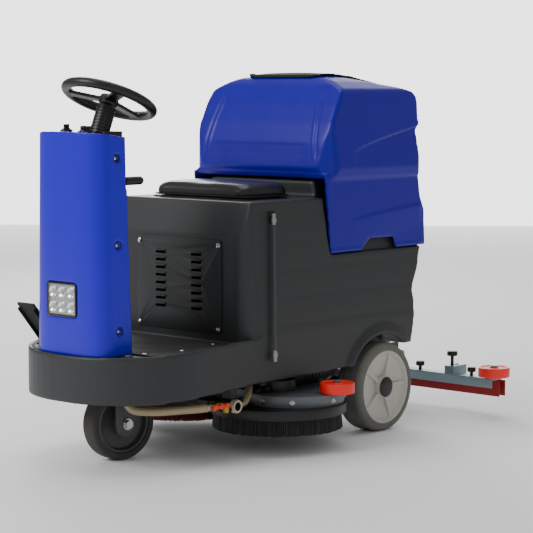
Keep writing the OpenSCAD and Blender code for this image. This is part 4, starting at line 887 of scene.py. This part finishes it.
class BuildControls(Piece):
    """Builds the steering wheel, the dashboard and its knobs, the lamp and the screw wells"""

    bl_idname = "scrubber.controls"
    bl_label = "Controls and lamp"

    def build(self, sizes, looks):
        wheel = moulded("steering_wheel", "steering_wheel_moulded", 0.0024, 6)
        wheel.data.materials.append(looks["abs"])
        hung(wheel, "steering", ["steering_wheel"], 180)
        for cad, name, body, look, slot, width in (
            ("dashboard", "dashboard_moulded", "chassis", "abs", "dash_black", 0.002),
            ("headlight_housing", "lamp_bezel", "chassis", "gloss", "lamp_black", 0.0015),
            ("louvre_panel", "louvre_panel_moulded", "chassis", "body", "panel_grey", 0.0008),
            ("footboard_mat", "mat_sheet", "chassis", "mat", "mat_rubber", 0.0008),
            ("seat_base", "seat_plate", "seat", "abs", "seat_plastic", 0.0015),
            ("accelerator_pedal", "pedal_moulded", "pedal", "mat", "black_plastic", 0.0015),
            ("direction_lever", "lever_moulded", "lever", "abs", "black_plastic", 0.0012),
            ("front_fork", "fork_welded", "fork", "front_rim", "fork_steel", 0.0015),
            ("front_rim", "front_rim_moulded", "front_wheel", "front_rim", "front_rim", 0.001),
            ("stop_button", "stop_button_moulded", "stop", "red", "red_plastic", 0.001),
            ("speed_knob", "speed_knob_moulded", "speed", "abs", "black_plastic", 0.0008),
            ("key_switch", "key_switch_black", "key", "abs", "screw_steel", 0.0005),
        ):
            obj = eased(cad, name, width)
            obj.data.materials.append(looks[look])
            hung(obj, body, [cad])
        low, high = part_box("headlight_lens")
        plate, cells = Shape(), Shape()
        mid, back = (low + high) / 2, high.y
        plate.block((low.x + 0.001, back + 0.0008, low.z + 0.001), (high.x - 0.001, back + 0.003, high.z - 0.001))
        # Six lamps, each a bright cup round a dark centre
        across, up = (high.x - low.x) / 3, (high.z - low.z) / 2
        for i in range(3):
            for j in range(2):
                spot = Vector((low.x + across * (i + 0.5), back + 0.003, low.z + up * (j + 0.5)))
                place = Matrix.Translation(spot) @ Matrix.Rotation(math.pi / 2, 4, "X")
                r = 0.43 * across
                cells.turned([(r, 0), (r, 0.0065), (r * 0.94, 0.0068), (r * 0.45, 0.0012), (r * 0.3, 0.0012)],
                             place, 32)
                plate.turned([(r * 0.28, 0), (r * 0.28, 0.0034), (r * 0.15, 0.0044)], place, 20)
        plate.piece("lamp_plate", [looks["nickel"]], "chassis", "lamp_black")
        cells.piece("lamp_cells", [looks["chrome"]], "chassis", "lens")
        # Black block behind the sight tube's upper fitting: painted shade of the recess there
        recess = Shape()
        top = Vector((0.2437, REAR_Y - 0.460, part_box("sight_fittings")[1].z))
        recess.block(top + Vector((-0.004, -0.014, -0.028)), top + Vector((0.0, 0.014, 0.006)))
        recess.piece("sight_recess_painted_shade", [looks["lid"]], "chassis", "black_plastic", bevel=0.002)
        # Black cups in the column's screw wells: their black is painted shade of the recesses
        wells = Shape()
        for z in COLUMN_SCREW_Z:
            for side in (-1, 1):
                well = screw_well(side, z)
                wells.turned([(0.0057, 0.0002), (0.0106, 0.0002), (0.0108, 0.0070), (0.0100, 0.0070), (0.0098, 0.0012),
                              (0.0057, 0.0010)], well, 32, ring=True)
        wells.piece("column_screw_well_shade_cups", [looks["abs"]], "chassis", "black_plastic")
        dressed(looks["lens"], "headlight_lens")


class BuildSqueegee(Piece):
    """Builds the squeegee's channel, arm, knobs and blades"""

    bl_idname = "scrubber.squeegee"
    bl_label = "Squeegee"

    def build(self, sizes, looks):
        for cad, name, body, look, slot, width in (
            ("squeegee_channel", "squeegee_channel_cast", "squeegee", "channel", "channel_grey", 0.0012),
            ("squeegee_arm", "squeegee_arm_welded", "arm", "frame", "arm_steel", 0.0012),
            ("squeegee_knobs", "star_knobs", "squeegee", "abs", "knob_black", 0.0012),
            ("squeegee_blades", "blade_strips", "squeegee", "blade", "blade_red", 0.0005),
        ):
            obj = eased(cad, name, width)
            obj.data.materials.append(looks[look])
            hung(obj, body, [cad])


class DressFrame(Piece):
    """Gives the parts that keep their CAD shape their materials"""

    bl_idname = "scrubber.dress"
    bl_label = "Frame finishes"

    def build(self, sizes, looks):
        for look, nodes in (
            ("frame", ("chassis_frame", "column_frame", "hinge_brackets", "transaxle", "deck_actuator")),
            ("abs", ("control_box", "battery_pack", "vacuum_motor", "steering_sleeve")),
            ("zinc", ("body_screws", "front_axle", "steering_chain")),
            ("steel", ("steering_shaft", "lower_shaft")),
            ("brass", ("steering_bearings",)),
            ("tube", ("sight_tube",)),
            ("nickel", ("sight_fittings",)),
        ):
            dressed(looks[look], *nodes)


# ---------------------------------------------------------------- stage

class BuildStage(Piece):
    """Makes the camera, the studio lights and the floor"""

    bl_idname = "scrubber.stage"
    bl_label = "Stage"

    def build(self, sizes, looks):
        scene = bpy.context.scene
        lens = bpy.data.cameras.new("viewpoint")
        lens.sensor_width = 36
        lens.lens = 125.94
        camera = bpy.data.objects.new("viewpoint", lens)
        camera.location = (3.5136, -3.9199, 0.9735)
        camera.rotation_euler = (math.radians(84.58), math.radians(-0.1), math.radians(41.43))
        scene.collection.objects.link(camera)
        scene.camera = camera
        ground = Shape()
        ground.add([(-9, -9, 0), (9, -9, 0), (9, 9, 0), (-9, 9, 0)], [[0, 1, 2, 3]])
        mesh = bpy.data.meshes.new("floor")
        mesh.from_pydata([tuple(p) for p in ground.points], [], ground.faces)
        floor = bpy.data.objects.new("floor", mesh)
        scene.collection.objects.link(floor)
        # Smooth pale studio floor
        mesh.materials.append(finish("pale_studio_floor", linear("#fafafa"), 0.8, mottle=0.005))
        curtain_mesh = bpy.data.meshes.new("curtain")
        curtain_mesh.from_pydata([(-9, 3, 0), (-2, 9, 0), (-2, 9, 6), (-9, 3, 6)], [], [[0, 1, 2, 3]])
        curtain = bpy.data.objects.new("curtain", curtain_mesh)
        scene.collection.objects.link(curtain)
        # White cloth lit from behind, so that the room behind the machine is bright and even
        glow, tree = new_material("backlit_white_cloth")
        bright = node(tree, "ShaderNodeEmission", {"Color": linear("#ffffff"), "Strength": 3.0})
        node(tree, "ShaderNodeOutputMaterial", {"Surface": bright.outputs["Emission"]})
        curtain_mesh.materials.append(glow)
        world = bpy.data.worlds.new("studio")
        world.use_nodes = True
        background = world.node_tree.nodes["Background"]
        background.inputs["Color"].default_value = linear("#ffffff")
        background.inputs["Strength"].default_value = 0.42
        scene.world = world
        for name, spot, size, power in (
            ("key", (-1.6, -4.4, 3.2), 2.2, 150),
            ("side", (4.8, -2.6, 2.2), 1.6, 16),
            ("overhead", (-0.4, 0.4, 4.6), 3.0, 70),
            ("rim", (-3.4, 2.6, 2.8), 2.0, 60),
        ):
            lamp = bpy.data.lights.new(name, "AREA")
            lamp.size = size
            lamp.energy = power
            holder = bpy.data.objects.new(name, lamp)
            holder.location = spot
            aim = Vector((0, 0, 0.45)) - Vector(spot)
            holder.rotation_euler = aim.to_track_quat("-Z", "Y").to_euler()
            scene.collection.objects.link(holder)


OPERATORS = (BuildStage, BuildShells, BuildSeat, BuildWheels, BuildBrushes, BuildDeck, BuildWaterLine,
             BuildControls, BuildSqueegee, DressFrame)


class ScrubberPanel(bpy.types.Panel):
    """Sidebar panel with the sizes, the colours and the pieces"""

    bl_idname = "VIEW3D_PT_scrubber"
    bl_label = "Ride-on floor scrubber"
    bl_space_type = "VIEW_3D"
    bl_region_type = "UI"
    bl_category = "Scrubber"

    def draw(self, context):
        for group in (context.scene.scrubber_sizes, context.scene.scrubber_colours):
            for key in group.bl_rna.properties.keys():
                if key not in ("rna_type", "name"):
                    self.layout.prop(group, key)
        for operator in OPERATORS:
            self.layout.operator(operator.bl_idname)


CLASSES = (ScrubberColours, ScrubberSizes, *OPERATORS, ScrubberPanel)


def register():
    for c in CLASSES:
        bpy.utils.register_class(c)
    bpy.types.Scene.scrubber_colours = bpy.props.PointerProperty(type=ScrubberColours)
    bpy.types.Scene.scrubber_sizes = bpy.props.PointerProperty(type=ScrubberSizes)


def unregister():
    del bpy.types.Scene.scrubber_sizes
    del bpy.types.Scene.scrubber_colours
    for c in reversed(CLASSES):
        bpy.utils.unregister_class(c)


def main():
    register()
    for operator in OPERATORS:
        group, name = operator.bl_idname.split(".")
        getattr(getattr(bpy.ops, group), name)()


if __name__ == "__main__":
    main()
